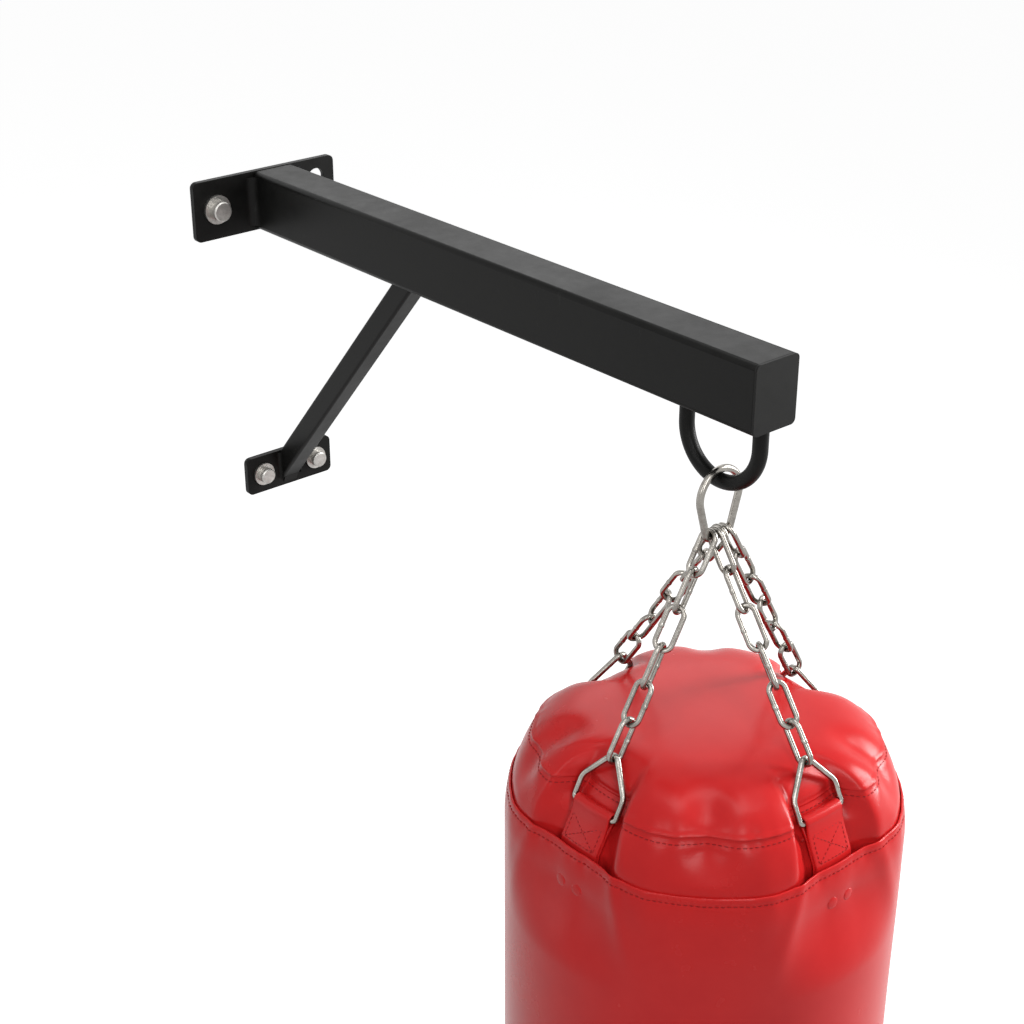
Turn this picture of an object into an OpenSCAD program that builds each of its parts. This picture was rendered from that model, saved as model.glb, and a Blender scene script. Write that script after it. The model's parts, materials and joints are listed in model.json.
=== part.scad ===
// Heavy punching bag hung by four chains from a wall bracket.
// Millimetres, +Z up. The wall is the plane y = 0 and the beam runs out along -Y.
// The origin is on the wall, level with the beam's middle and in its centre plane.

/* [Beam] */
// How far the tip of the beam stands out from the wall
beam_reach = 582; // [420:1:900]
// Width of the beam tube
beam_w = 40; // [34:1:60]
// Height of the beam tube
beam_h = 50; // [40:1:80]
// Wall of the beam tube
beam_wall = 3; // [2:0.5:3.5]
// Outer corner radius of the beam tube
beam_corner = 4; // [4:0.5:7]
// Thickness of the end cap's face
cap_face = 2; // [1:0.5:4]
// How far the end cap's plug reaches into the tube
cap_plug = 15; // [8:1:25]
// Wall of the end cap's plug
cap_wall = 2.5; // [1.5:0.5:4]

/* [Wall plates] */
// Thickness of both wall plates
plate_t = 5; // [4:0.5:8]
// Width of the upper plate
upper_plate_w = 141; // [120:1:200]
// Height of the upper plate
upper_plate_h = 51; // [45:1:90]
// How far the upper plate's middle lies to the left of the beam
upper_plate_shift = 8.5; // [0:0.5:12]
// Width of the lower plate
lower_plate_w = 90; // [84:1:140]
// Height of the lower plate
lower_plate_h = 35; // [30:1:60]
// Drop from the beam's middle to the lower plate's middle
lower_plate_drop = 252; // [180:1:400]
// Corner radius of the plates
plate_corner = 5; // [3:0.5:8]

/* [Brace] */
// Width of the square brace tube
brace_w = 19; // [16:1:24]
// Wall of the brace tube
brace_wall = 2; // [1.5:0.5:3]
// Corner radius of the brace tube
brace_corner = 2.5; // [2.5:0.5:4]
// Distance from the wall at which the brace's axis meets the beam's underside
brace_head_reach = 197; // [140:1:320]
// Rise of the brace's axis above the lower plate's middle, at the plate
brace_foot_rise = 3.5; // [0:0.5:6]

/* [Welds] */
// Leg of the fillet welds beside the beam
beam_weld = 8; // [4:0.5:10]
// Leg of the small fillet welds
small_weld = 4; // [2:0.5:5]

/* [Wall bolts] */
// Distance from the beam's centre plane to the upper bolt
upper_bolt_x = 57.5; // [50:0.5:60]
// Distance from the beam's centre plane to the empty hole
spare_hole_x = 43.5; // [38:0.5:46]
// Height of the empty hole above the beam's middle
spare_hole_z = 8; // [0:0.5:10]
// Diameter of the empty hole
spare_hole_d = 17; // [11:0.5:18]
// Diameter of the upper bolt
upper_bolt_d = 12; // [8:1:14]
// Diameter of the lower bolts
lower_bolt_d = 10; // [6:1:12]
// Half the distance between the lower bolts
lower_bolt_x = 28; // [26:0.5:34]
// Length of each bolt behind the wall face
bolt_embed = 12; // [8:1:120]
// How much thinner a bolt is where it passes through its plate
bolt_neck = 1; // [0.5:0.5:1.5]
// Play of a bolt in its hole, on the diameter
bolt_play = 1; // [0.5:0.5:2]

/* [Hook] */
// Diameter of the hook's round bar
hook_rod = 11; // [8:0.5:14]
// Radius of the hook's bend, to the bar's middle
hook_bend = 34; // [26:1:45]
// Length of the hook's straight legs below the beam
hook_leg = 17.5; // [8:0.5:40]
// Distance from the beam's tip to the hook's middle
hook_setback = 45; // [45:1:90]

/* [Hanger ring] */
// Diameter of the hanger ring's wire
ring_rod = 5.5; // [4:0.5:7]
// Radius of the hanger ring's top bend, to the wire's middle
ring_bend = 19; // [16:0.5:24]
// Height of the hanger ring, between wire middles
ring_height = 49.9; // [44:0.1:70]
// Radius of the hanger ring's lower corners, to the wire's middle
ring_corner = 4; // [3:0.5:5]
// Half the straight length of the hanger ring's lower bar
ring_bar_half = 8; // [7.5:0.5:12]

/* [Chains] */
// Diameter of the chain wire
wire = 4; // [3:0.5:4.5]
// Inner length of a chain link
link_pitch = 28.5; // [24:0.5:36]
// Outer width of a chain link
link_w = 16.5; // [16:0.5:20]
// Gap left where one piece of wire bears on another
bearing_gap = 0.15; // [0.05:0.05:0.2]
// Gap between the top links, side by side on the hanger ring
side_gap = 0.5; // [0.4:0.1:0.7]
// Distance from the top of a D-ring out to the bag's side
d_ring_inset = 55; // [40:1:75]

/* [D-rings and straps] */
// Diameter of the D-ring's wire
d_rod = 4.5; // [3.5:0.5:5.5]
// Height of a D-ring, between wire middles
d_height = 40.5; // [38:0.5:52]
// Lean of the D-rings and strap ends from the vertical
d_lean = 27; // [20:0.5:32]
// Width of a strap
strap_w = 36; // [30:0.5:38]
// Thickness of a folded strap
strap_t = 4.5; // [3:0.5:6]
// Height from a front or back D-ring's bar down to the rim of the side panel
strap_show = 29.5; // [24:0.5:45]
// Length of strap inside the side panel
strap_tuck = 40; // [34:1:60]
// Diameter of a rivet's shank
rivet_d = 4; // [3:0.5:5]
// Diameter of a rivet's head
rivet_head = 9; // [7:0.5:11]
// Half the distance between a strap's two rivets
rivet_half = 10; // [7:0.5:12]

/* [Bag] */
// Outer radius of the bag
bag_r = 147; // [130:1:200]
// Height of the bag, from its crown to its base
bag_height = 1000; // [600:10:1500]
// Height of the crown above the rim of the side panel
crown_rise = 61; // [45:1:90]
// Height of the shoulder seam above the rim of the side panel
seam_rise = 37; // [34:1:44]
// Thickness of the vinyl
vinyl_t = 2.5; // [1.5:0.5:3.5]
// Thickness of the foam lining
foam_t = 10; // [5:1:20]
// Radius of the rounded edge around the base
base_edge = 12; // [8:1:25]
// Gap between neighbouring layers
layer_gap = 0.3; // [0.2:0.1:0.5]

/* [Hidden] */

// The four sides of the bag, turned about its axis from the side that faces away from the wall
FRONT = 0;
RIGHT = 90;
BACK = 180;
LEFT = 270;
sides = [FRONT, RIGHT, BACK, LEFT];
links_per_chain = 6;
// Roll of each link about its chain; the last link always ends square to its D-ring
long_chain_roll = [for (k = [0:links_per_chain - 1]) k * 108];
side_chain_roll = [90, 195, 295, 380, 460, 540];

black = [0.09, 0.09, 0.09];
zinc = [0.72, 0.71, 0.69];
red = [0.78, 0.13, 0.13];
dark_red = [0.62, 0.09, 0.09];
foam_grey = [0.45, 0.45, 0.47];
textile = [0.55, 0.50, 0.44];

hook_y = -(beam_reach - hook_setback);
beam_under = -beam_h / 2;
brace_angle = atan2(lower_plate_drop - brace_foot_rise + beam_under, brace_head_reach - plate_t);
brace_foot_z = -lower_plate_drop + brace_foot_rise;

// Bolt heads and washers go with the bolt's size
function washer_d(bolt) = 2 * bolt + 0.5;
function washer_t(bolt) = 0.2 * bolt;
function head_d(bolt) = 1.4 * bolt;
function head_h(bolt) = 0.7 * bolt;

// Heights on the hook and the hanger ring, to the wire's middle
hook_low_z = beam_under - hook_leg - hook_bend;
ring_top_z = hook_low_z + hook_rod / 2 + ring_rod / 2 + bearing_gap;
ring_bar_z = ring_top_z - ring_height;

// Chain links: middles of the wire
link_bend = (link_w - wire) / 2;
link_step = link_pitch - bearing_gap;
link_len = link_pitch + wire;
link_seat = ring_rod / 2 + wire / 2 + bearing_gap;
inner_link_x = (wire + side_gap) / 2;
outer_link_x = inner_link_x + wire + side_gap / 2;
// Distance from the top of a chain's first link to the top of its D-ring, wire middles
chain_span = links_per_chain * link_step + (wire - d_rod) / 2;

// Distance from the bag's axis to the top of a D-ring
d_ring_reach = bag_r - d_ring_inset;

// The front and back chains bear on the bar along their own line, the side chains from above
function long_chain_drop() = sqrt(pow(chain_span - link_seat, 2) - pow(d_ring_reach, 2)
                                  - pow(inner_link_x, 2));
function side_chain_drop() = sqrt(pow(chain_span, 2) - pow(d_ring_reach - outer_link_x, 2))
                             - link_seat;
long_top_z = ring_bar_z - long_chain_drop();
side_top_z = ring_bar_z - side_chain_drop();
side_drop = long_top_z - side_top_z;

// The strap fills the straight part of its D-ring's bar
d_corner = 3;
d_half = strap_w / 2 + d_corner;

// D-ring bar, from the bag's axis and up
bar_r = d_ring_reach + d_height * sin(d_lean);
bar_z = long_top_z - d_height * cos(d_lean);
fold_bore = d_rod / 2 + 0.45;
fold_r = fold_bore + strap_t / 2;

// Levels on the bag
rim_z = bar_z - strap_show;
crown_z = rim_z + crown_rise;
seam_z = rim_z + seam_rise;
base_z = crown_z - bag_height;

// The rim is drawn in a little, and each strap pulls a dent into it
rim_tuck = 3.5;
tuck_len = 25;
strap_dent = 13;
dent_len = 85;
rim_r = bag_r - rim_tuck;
skirt_len = 18;
rivet_drop = 28;
crown_power = 2.9;

// Middle line of a flat strap, which lies inside the round panel
strap_sag = pow(strap_w / 2, 2) / (2 * (rim_r - strap_dent - vinyl_t));
strap_rim_r = rim_r - strap_dent - vinyl_t - 2 * layer_gap - strap_sag - strap_t / 2;
strap_slope = 0.13;
strap_end_r = strap_rim_r + strap_slope * strap_tuck;

// Floor of the groove that a strap lies in
floor_rim_r = strap_rim_r - strap_t / 2 - 3 * layer_gap;
floor_slope = (strap_rim_r - bar_r + fold_r - strap_t / 2 + 2 * layer_gap) / (strap_show - side_drop);

steps = 72;

function smooth(a, b, x) = let (t = min(1, max(0, (x - a) / (b - a)))) t * t * (3 - 2 * t);
function off_strap(phi) = let (m = (phi + 45) % 90) abs(m - 45);
function rim_groove(phi) = 1 - smooth(5, 32, off_strap(phi));
function strap_groove(phi) = 1 - smooth(13, 19, off_strap(phi));

// Outside of the side panel at a turn phi and a drop below the rim
function side_r(phi, drop) =
    bag_r - rim_tuck * pow(1 - min(1, drop / tuck_len), 2)
    - strap_dent * rim_groove(phi) * (1 - smooth(0.3, 1, drop / dent_len));

// Outside of the top half between straps, at a rise above the rim
function swell_r(rise) = rim_r * pow(1 - pow(max(0, rise) / crown_rise, crown_power), 1 / crown_power);

// Outside of the shoulder band at a turn phi and a rise above the rim, or below it where negative
function shoulder_swell_r(phi, rise) =
    rise < 0 ? side_r(phi, -rise) - vinyl_t - layer_gap
             : swell_r(rise) - strap_dent * rim_groove(phi)
               - (vinyl_t + layer_gap) * (1 - smooth(0, 10, rise));
function shoulder_floor_r(rise) = floor_rim_r - (rise < 0 ? strap_slope : floor_slope) * rise;
function shoulder_r(phi, rise) =
    let (swell = shoulder_swell_r(phi, rise), floor_r = min(swell, shoulder_floor_r(rise)))
    swell - (swell - floor_r) * strap_groove(phi);

// Outside of the top panel: a share t of the way from the axis to the seam
seam_r = shoulder_swell_r(45, seam_rise);
function crown_r(phi, t) = t * (seam_r - (seam_r - shoulder_r(phi, seam_rise)) * pow(t, 3));
function swell_z(r) = crown_rise * pow(1 - pow(min(1, r / rim_r), crown_power), 1 / crown_power);
function crown_height(t) =
    let (edge = swell_z(seam_r))
    seam_rise + (swell_z(seam_r * t) - edge) * (crown_rise - seam_rise) / (crown_rise - edge);

function at(phi, r, z) = [r * sin(phi), hook_y - r * cos(phi), z];

// A ring of points for each entry of rings, which holds one point per step around the axis
module loft(rings) {
    n = len(rings);
    points = [for (ring = rings) each ring];
    faces = concat(
        [[for (i = [0:steps - 1]) i]],
        [for (k = [0:n - 2]) for (i = [0:steps - 1]) each
            let (a = k * steps + i, b = k * steps + (i + 1) % steps)
            [[a, a + steps, b], [b, a + steps, b + steps]]],
        [[for (i = [0:steps - 1]) (n - 1) * steps + steps - 1 - i]]);
    polyhedron(points, faces, convexity = 8);
}

// A closed wall: the rings go down the outside and back up the inside
module loft_wall(rings) {
    n = len(rings);
    points = [for (ring = rings) each ring];
    faces = [for (k = [0:n - 1]) for (i = [0:steps - 1]) each
        let (m = (k + 1) % n, a = k * steps + i, b = k * steps + (i + 1) % steps,
             c = m * steps + i, d = m * steps + (i + 1) % steps)
        [[a, c, b], [b, c, d]]];
    polyhedron(points, faces, convexity = 8);
}

module rounded_rect(w, h, r) {
    square([w - 2 * r, h], center = true);
    square([w, h - 2 * r], center = true);
    for (x = [-1, 1], y = [-1, 1])
        translate([x * (w / 2 - r), y * (h / 2 - r)])
            circle(r, $fn = 48);
}

// Extrudes a drawing of the XZ plane from one distance out from the wall to another
module out_from_wall(from, to) {
    translate([0, -from, 0])
        rotate([90, 0, 0])
            linear_extrude(to - from)
                children();
}

// Extrudes a drawing of the YZ plane, centred on x = 0
module across(width) {
    rotate([90, 0, 90])
        linear_extrude(width, center = true)
            children();
}

// Straight wire between two bends: a hair thinner, so that its ends sit inside the bends
rod_lap = 0.3;
rod_relief = 0.02;
module rod(p, q, r) {
    v = q - p;
    translate(p)
        rotate([0, acos(v[2] / norm(v)), atan2(v[1], v[0])])
            translate([0, 0, -rod_lap])
                cylinder(h = norm(v) + 2 * rod_lap, r = r - rod_relief, $fn = 32);
}

// Bent rod in the XZ plane, about the origin
module bend(radius, r, from, to) {
    rotate([90, 0, 0])
        rotate([0, 0, from])
            rotate_extrude(angle = to - from, $fn = 64)
                translate([radius, 0])
                    circle(r, $fn = 32);
}

// Direction of the outward normal of the line that touches two round corners [x, z, radius]
function touch_angle(a, b) =
    atan2(b[1] - a[1], b[0] - a[0]) + acos((a[2] - b[2]) / norm([b[0] - a[0], b[1] - a[1]]));
function on_round(c, angle) = [c[0] + c[2] * cos(angle), 0, c[1] + c[2] * sin(angle)];

// Closed wire loop in the XZ plane: its right half's round corners from the top down
module wire_loop(rounds, r) {
    n = len(rounds);
    ends = [for (i = [0:n - 1]) i < n - 1 ? touch_angle(rounds[i], rounds[i + 1]) : -90];
    translate([rounds[0][0], 0, rounds[0][1]])
        bend(rounds[0][2], r, ends[0], 180 - ends[0]);
    for (side = [0, 1])
        mirror([side, 0, 0])
            for (i = [1:n - 1]) {
                translate([rounds[i][0], 0, rounds[i][1]])
                    bend(rounds[i][2], r, ends[i], ends[i - 1]);
                rod(on_round(rounds[i - 1], ends[i - 1]), on_round(rounds[i], ends[i - 1]), r);
            }
    last = on_round(rounds[n - 1], -90);
    rod([-last[0], 0, last[2]], last, r);
}

// Concave fillet in a corner whose two faces lie along +X and +Y
module fillet_outline(leg) {
    difference() {
        square(leg);
        translate([leg, leg])
            circle(leg, $fn = 64);
    }
}

module wall_plate(w, h) {
    out_from_wall(0, plate_t)
        rounded_rect(w, h, plate_corner);
}

module bolt_hole(x, z, d) {
    translate([x, 0, z])
        out_from_wall(-1, plate_t + 1)
            circle(d = d, $fn = 48);
}

module upper_wall_plate() {
    color(black)
        difference() {
            translate([-upper_plate_shift, 0, 0])
                wall_plate(upper_plate_w, upper_plate_h);
            bolt_hole(-upper_bolt_x, 0, upper_bolt_d + bolt_play);
            bolt_hole(spare_hole_x, spare_hole_z, spare_hole_d);
        }
}

module lower_wall_plate() {
    color(black)
        difference() {
            translate([0, 0, -lower_plate_drop])
                wall_plate(lower_plate_w, lower_plate_h);
            for (x = [-lower_bolt_x, lower_bolt_x])
                bolt_hole(x, -lower_plate_drop, lower_bolt_d + bolt_play);
        }
}

// Section of a tube; the corners inside keep a small radius even in a thick wall
function inner_corner(corner, wall) = max(0.5, corner - wall);
module tube_outline(w, h, corner, wall) {
    difference() {
        rounded_rect(w, h, corner);
        rounded_rect(w - 2 * wall, h - 2 * wall, inner_corner(corner, wall));
    }
}

module beam_tube() {
    color(black)
        out_from_wall(plate_t, beam_reach - cap_face)
            tube_outline(beam_w, beam_h, beam_corner, beam_wall);
}

module beam_end_cap() {
    plug_gap = beam_wall + 0.1;
    plug_corner = inner_corner(beam_corner, beam_wall);
    plug_w = beam_w - 2 * plug_gap;
    plug_h = beam_h - 2 * plug_gap;
    color(black) {
        out_from_wall(beam_reach - cap_face, beam_reach)
            rounded_rect(beam_w, beam_h, beam_corner);
        out_from_wall(beam_reach - cap_face - cap_plug, beam_reach - cap_face)
            difference() {
                rounded_rect(plug_w, plug_h, plug_corner);
                square([plug_w - 2 * cap_wall, plug_h - 2 * cap_wall], center = true);
            }
    }
}

// Square tube from the lower plate up to the beam's underside, cut flush with both
module brace_tube() {
    far = 2 * (brace_head_reach + lower_plate_drop);
    color(black)
        intersection() {
            translate([0, -plate_t, brace_foot_z])
                rotate([90 - brace_angle, 0, 0])
                    linear_extrude(far, center = true)
                        tube_outline(brace_w, brace_w, brace_corner, brace_wall);
            translate([-brace_w, -far, beam_under - far])
                cube([2 * brace_w, far - plate_t, far]);
        }
}

module both_sides() {
    children();
    mirror([1, 0, 0])
        children();
}

// Upright fillets between a wall plate and the sides of what stands on it
module plate_welds(half_w, z, length, leg) {
    both_sides()
        translate([half_w, -plate_t, z])
            linear_extrude(length, center = true)
                mirror([0, 1])
                    fillet_outline(leg);
}

// Bead across the tube in the open angle between a face and the brace, in the YZ plane
module brace_bead(y, z, along_face, along_brace) {
    translate([0, y, z])
        across(brace_w - 2 * brace_corner)
            polygon([[0, 0], small_weld * along_face, small_weld * along_brace]);
}

module beam_welds() {
    color(black)
        plate_welds(beam_w / 2, 0, beam_h - 2 * beam_corner, beam_weld);
}

// Half the height of the brace's cut on the plate, and half its length on the beam
foot_half = brace_w / 2 / cos(brace_angle);
head_half = brace_w / 2 / sin(brace_angle);
brace_way = [cos(brace_angle), -sin(brace_angle)];

module brace_foot_welds() {
    color(black) {
        plate_welds(brace_w / 2, brace_foot_z, 2 * (foot_half - brace_corner), small_weld);
        brace_bead(-plate_t, brace_foot_z - foot_half, [0, -1], -brace_way);
    }
}

module brace_head_welds() {
    half_length = head_half - brace_corner;
    color(black) {
        both_sides()
            translate([brace_w / 2, 0, beam_under])
                out_from_wall(brace_head_reach - half_length, brace_head_reach + half_length)
                    mirror([0, 1])
                        fillet_outline(small_weld);
        brace_bead(-brace_head_reach - head_half, beam_under, [-1, 0], brace_way);
    }
}

module u_hook() {
    color(black)
        translate([0, hook_y, 0])
            rotate([0, 0, 90]) {
                translate([0, 0, hook_low_z + hook_bend])
                    bend(hook_bend, hook_rod / 2, 180, 360);
                for (side = [-1, 1])
                    translate([side * hook_bend, 0, hook_low_z + hook_bend])
                        cylinder(h = hook_leg, d = hook_rod, $fn = 48);
            }
}

module hook_welds() {
    color(black)
        for (side = [-1, 1])
            translate([0, hook_y + side * hook_bend, beam_under])
                rotate_extrude($fn = 48)
                    translate([hook_rod / 2, 0])
                        mirror([0, 1])
                            fillet_outline(small_weld);
}

// Bolt whose head stands out from the wall over a washer; the full diameter starts in the wall
module anchor_bolt(d) {
    seat = plate_t + washer_t(d);
    neck_end = 1;
    rotate([90, 0, 0]) {
        translate([0, 0, -bolt_embed])
            cylinder(h = bolt_embed - neck_end, d = d, $fn = 48);
        translate([0, 0, -neck_end])
            cylinder(h = neck_end + seat, d = d - bolt_neck, $fn = 48);
        translate([0, 0, seat])
            cylinder(h = head_h(d) - 1, d = head_d(d), $fn = 48);
        translate([0, 0, seat + head_h(d) - 1])
            cylinder(h = 1, d1 = head_d(d), d2 = head_d(d) - 2, $fn = 48);
    }
}

module washer(d) {
    out_from_wall(plate_t, plate_t + washer_t(d))
        difference() {
            circle(d = washer_d(d), $fn = 48);
            circle(d = d + bolt_play / 2, $fn = 48);
        }
}

module upper_anchor_bolt() {
    color(zinc)
        translate([-upper_bolt_x, 0, 0])
            anchor_bolt(upper_bolt_d);
}

module upper_washer() {
    color(zinc)
        translate([-upper_bolt_x, 0, 0])
            washer(upper_bolt_d);
}

module lower_anchor_bolts() {
    color(zinc)
        for (x = [-lower_bolt_x, lower_bolt_x])
            translate([x, 0, -lower_plate_drop])
                anchor_bolt(lower_bolt_d);
}

module lower_washers() {
    color(zinc)
        for (x = [-lower_bolt_x, lower_bolt_x])
            translate([x, 0, -lower_plate_drop])
                washer(lower_bolt_d);
}

// Wire ring through the hook, with a straight lower bar for the four chains
module hanger_ring() {
    color(zinc)
        translate([0, hook_y, 0])
            wire_loop([[0, ring_top_z - ring_bend, ring_bend],
                       [ring_bar_half, ring_bar_z + ring_corner, ring_corner]], ring_rod / 2);
}

// Link that hangs down from the origin in the YZ plane
module link() {
    for (end = [0, 1])
        translate([0, 0, end == 0 ? -link_bend : link_bend - link_len])
            rotate([0, 0, 90])
                bend(link_bend, wire / 2, end * 180, end * 180 + 180);
    for (side = [-1, 1])
        translate([0, side * link_bend, link_bend - link_len])
            cylinder(h = link_len - 2 * link_bend, d = wire, $fn = 32);
}

// Row of links from the top of the first one towards the top of a D-ring
module chain(top, end, rolls) {
    v = end - top;
    color(zinc)
        translate(top)
            rotate([0, 0, atan2(v[0], -v[1])])
                rotate([-acos(-v[2] / norm(v)), 0, 0])
                    for (k = [0:links_per_chain - 1])
                        translate([0, 0, -k * link_step])
                            rotate([0, 0, rolls[k]])
                                link();
}

// Chain to the front or back D-ring, which bears on the ring's bar along its own line
module long_chain(phi) {
    turn = phi == FRONT ? -1 : 1;
    seat = [turn * inner_link_x, hook_y, ring_bar_z];
    end = at(phi, d_ring_reach, long_top_z);
    line = (end - seat) / norm(end - seat);
    chain(seat - line * link_seat, end, long_chain_roll);
}

// Chain to the right or left D-ring, which hangs over the ring's bar outside the other two
module side_chain(phi) {
    turn = phi == RIGHT ? 1 : -1;
    chain([turn * outer_link_x, hook_y, ring_bar_z + link_seat],
          at(phi, d_ring_reach, side_top_z), side_chain_roll);
}

module front_chain() { long_chain(FRONT); }
module right_chain() { side_chain(RIGHT); }
module back_chain() { long_chain(BACK); }
module left_chain() { side_chain(LEFT); }

// The side D-rings sit a little lower, because their chains reach the ring's bar from above
function side_shift(phi) = phi == FRONT || phi == BACK ? 0 : -side_drop;

module d_ring(phi) {
    top = 5;
    shoulder = d_half / 2;
    color(zinc)
        translate([0, hook_y, 0])
            rotate([0, 0, phi])
                translate([0, -d_ring_reach, long_top_z + side_shift(phi)])
                    rotate([-d_lean, 0, 0])
                        wire_loop([[0, -top, top],
                                   [d_half - shoulder, -2 * d_height / 3, shoulder],
                                   [strap_w / 2, d_corner - d_height, d_corner]], d_rod / 2);
}

module front_d_ring() { d_ring(FRONT); }
module right_d_ring() { d_ring(RIGHT); }
module back_d_ring() { d_ring(BACK); }
module left_d_ring() { d_ring(LEFT); }

// Places rivets square to the strap, at its outer face
module at_rivets() {
    for (side = [-1, 1])
        translate([side * rivet_half, -(strap_rim_r + strap_slope * rivet_drop), rim_z - rivet_drop])
            rotate([90 - atan(strap_slope), 0, 0])
                children();
}

// Folded strip along its middle line [bar, rim, end] in the YZ plane, with a bore for the bar
module strap_strip(line) {
    way = [for (k = [0, 1]) (line[k + 1] - line[k]) / norm(line[k + 1] - line[k])];
    side = [for (w = way) [-w[1], w[0]] * strap_t / 2];
    mitre = (side[0] + side[1]) / (1 + side[0] * side[1] / pow(strap_t / 2, 2));
    difference() {
        union() {
            across(strap_w)
                translate(line[0])
                    circle(fold_r, $fn = 48);
            across(strap_w)
                polygon([line[0] + side[0], line[1] + mitre, line[2] + side[1],
                         line[2] - side[1], line[1] - mitre, line[0] - side[0]]);
        }
        across(strap_w + 2)
            translate(line[0])
                circle(fold_bore, $fn = 48);
    }
}

module strap(phi) {
    color(red)
        translate([0, hook_y, 0])
            rotate([0, 0, phi])
                difference() {
                    strap_strip([[-bar_r, bar_z + side_shift(phi)], [-strap_rim_r, rim_z],
                                 [-strap_end_r, rim_z - strap_tuck]]);
                    at_rivets()
                        cylinder(h = 4 * strap_t, d = rivet_d + rivet_play, center = true, $fn = 32);
                }
}

module front_strap() { strap(FRONT); }
module right_strap() { strap(RIGHT); }
module back_strap() { strap(BACK); }
module left_strap() { strap(LEFT); }

// Two rivets hold each strap to the side panel
head_t = 1.2;
rivet_play = 0.4;
rivet_grip_out = side_r(0, rivet_drop) - (strap_rim_r + strap_slope * rivet_drop) + layer_gap;
rivet_grip_in = strap_t / 2 + 2 * layer_gap;

module rivet() {
    translate([0, 0, -rivet_grip_in])
        cylinder(h = rivet_grip_in + rivet_grip_out, d = rivet_d, $fn = 32);
    translate([0, 0, rivet_grip_out])
        cylinder(h = head_t, d = rivet_head, $fn = 48);
    translate([0, 0, -rivet_grip_in - head_t])
        cylinder(h = head_t, d = rivet_head - 1, $fn = 48);
}

module strap_rivets() {
    color(dark_red)
        for (phi = sides)
            translate([0, hook_y, 0])
                rotate([0, 0, phi])
                    at_rivets()
                        rivet();
}

// Levels at which the soft shells have a ring of points
crown_shares = [0.02, 0.25, 0.45, 0.62, 0.76, 0.87, 0.95, 1];
shoulder_rises = [seam_rise, 0.88 * seam_rise, 0.72 * seam_rise, 0.52 * seam_rise, 0.3 * seam_rise,
                  0.13 * seam_rise, 0, -skirt_len / 2, -skirt_len];
side_drops = [0, 6, 14, 25, 36, 48, 62, dent_len];
panel_end = base_z + base_edge;

function turn(i) = 360 * i / steps;
function crown_ring(t, inset, drop) =
    let (k = (crown_rise - seam_rise - drop) / (crown_rise - seam_rise))
    [for (i = [0:steps - 1])
        let (r = crown_r(turn(i), t))
        at(turn(i), max(0.5, r - inset * t), seam_z + (crown_height(t) - seam_rise) * k)];
function shoulder_ring(rise, inset) =
    [for (i = [0:steps - 1]) at(turn(i), shoulder_r(turn(i), rise) - inset, rim_z + rise)];
function side_ring(drop, inset) =
    [for (i = [0:steps - 1]) at(turn(i), side_r(turn(i), drop) - inset, rim_z - drop)];
function flat_ring(r, z) = [for (i = [0:steps - 1]) at(turn(i), r, z)];
function reversed(list) = [for (i = [len(list) - 1:-1:0]) list[i]];

module top_panel() {
    color(red)
        loft(concat([for (t = crown_shares) crown_ring(t, 0, 0)],
                    reversed([for (t = crown_shares) crown_ring(t, vinyl_t, vinyl_t)])));
}

module shoulder_band() {
    color(red)
        loft_wall(concat([for (rise = shoulder_rises) shoulder_ring(rise, 0)],
                         reversed([for (rise = shoulder_rises) shoulder_ring(rise, vinyl_t)])));
}

module side_panel() {
    drops = concat(side_drops, [rim_z - panel_end]);
    color(red)
        difference() {
            loft_wall(concat([for (drop = drops) side_ring(drop, 0)],
                             reversed([for (drop = drops) side_ring(drop, vinyl_t)])));
            for (phi = sides)
                translate([0, hook_y, 0])
                    rotate([0, 0, phi])
                        at_rivets()
                            cylinder(h = 40, d = rivet_d + rivet_play, $fn = 32);
        }
}

// Round base with a rolled edge, in line with the side panel
module bottom_panel() {
    inner_edge = base_edge - vinyl_t;
    color(dark_red)
        translate([0, hook_y, base_z])
            rotate_extrude($fn = 144)
                difference() {
                    union() {
                        square([bag_r - base_edge, base_edge]);
                        intersection() {
                            translate([bag_r - base_edge, base_edge])
                                circle(base_edge, $fn = 64);
                            square([bag_r, base_edge]);
                        }
                    }
                    translate([0, vinyl_t])
                        square([bag_r - base_edge, base_edge]);
                    translate([bag_r - base_edge, base_edge])
                        circle(inner_edge, $fn = 64);
                }
}

foam_top = rim_z - dent_len;
foam_r = bag_r - vinyl_t - layer_gap - 0.2;

module foam_lining() {
    color(foam_grey)
        translate([0, hook_y, panel_end])
            difference() {
                cylinder(h = foam_top - panel_end, r = foam_r, $fn = 144);
                translate([0, 0, -1])
                    cylinder(h = foam_top - panel_end + 2, r = foam_r - foam_t, $fn = 144);
            }
}

// Packed textile, from the crown down to the base, a little short of the skin at the top
module filling() {
    slack = 3.5;
    core_r = foam_r - foam_t - layer_gap;
    inset = vinyl_t + slack;
    color(textile)
        loft(concat(
            [for (t = crown_shares) crown_ring(t, inset, inset)],
            [for (k = [1:len(shoulder_rises) - 1]) shoulder_ring(shoulder_rises[k], inset)],
            [flat_ring(min(core_r, floor_rim_r - inset), rim_z - skirt_len - 4),
             flat_ring(core_r - 6, rim_z - 0.8 * dent_len),
             flat_ring(core_r, foam_top),
             flat_ring(core_r, base_z + base_edge),
             flat_ring(core_r - 4, base_z + vinyl_t + layer_gap)]));
}

upper_wall_plate();
lower_wall_plate();
beam_tube();
beam_end_cap();
brace_tube();
beam_welds();
brace_foot_welds();
brace_head_welds();
u_hook();
hook_welds();
upper_anchor_bolt();
upper_washer();
lower_anchor_bolts();
lower_washers();
hanger_ring();
front_chain();
right_chain();
back_chain();
left_chain();
front_d_ring();
right_d_ring();
back_d_ring();
left_d_ring();
front_strap();
right_strap();
back_strap();
left_strap();
strap_rivets();
top_panel();
shoulder_band();
side_panel();
bottom_panel();
foam_lining();
filling();
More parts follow.
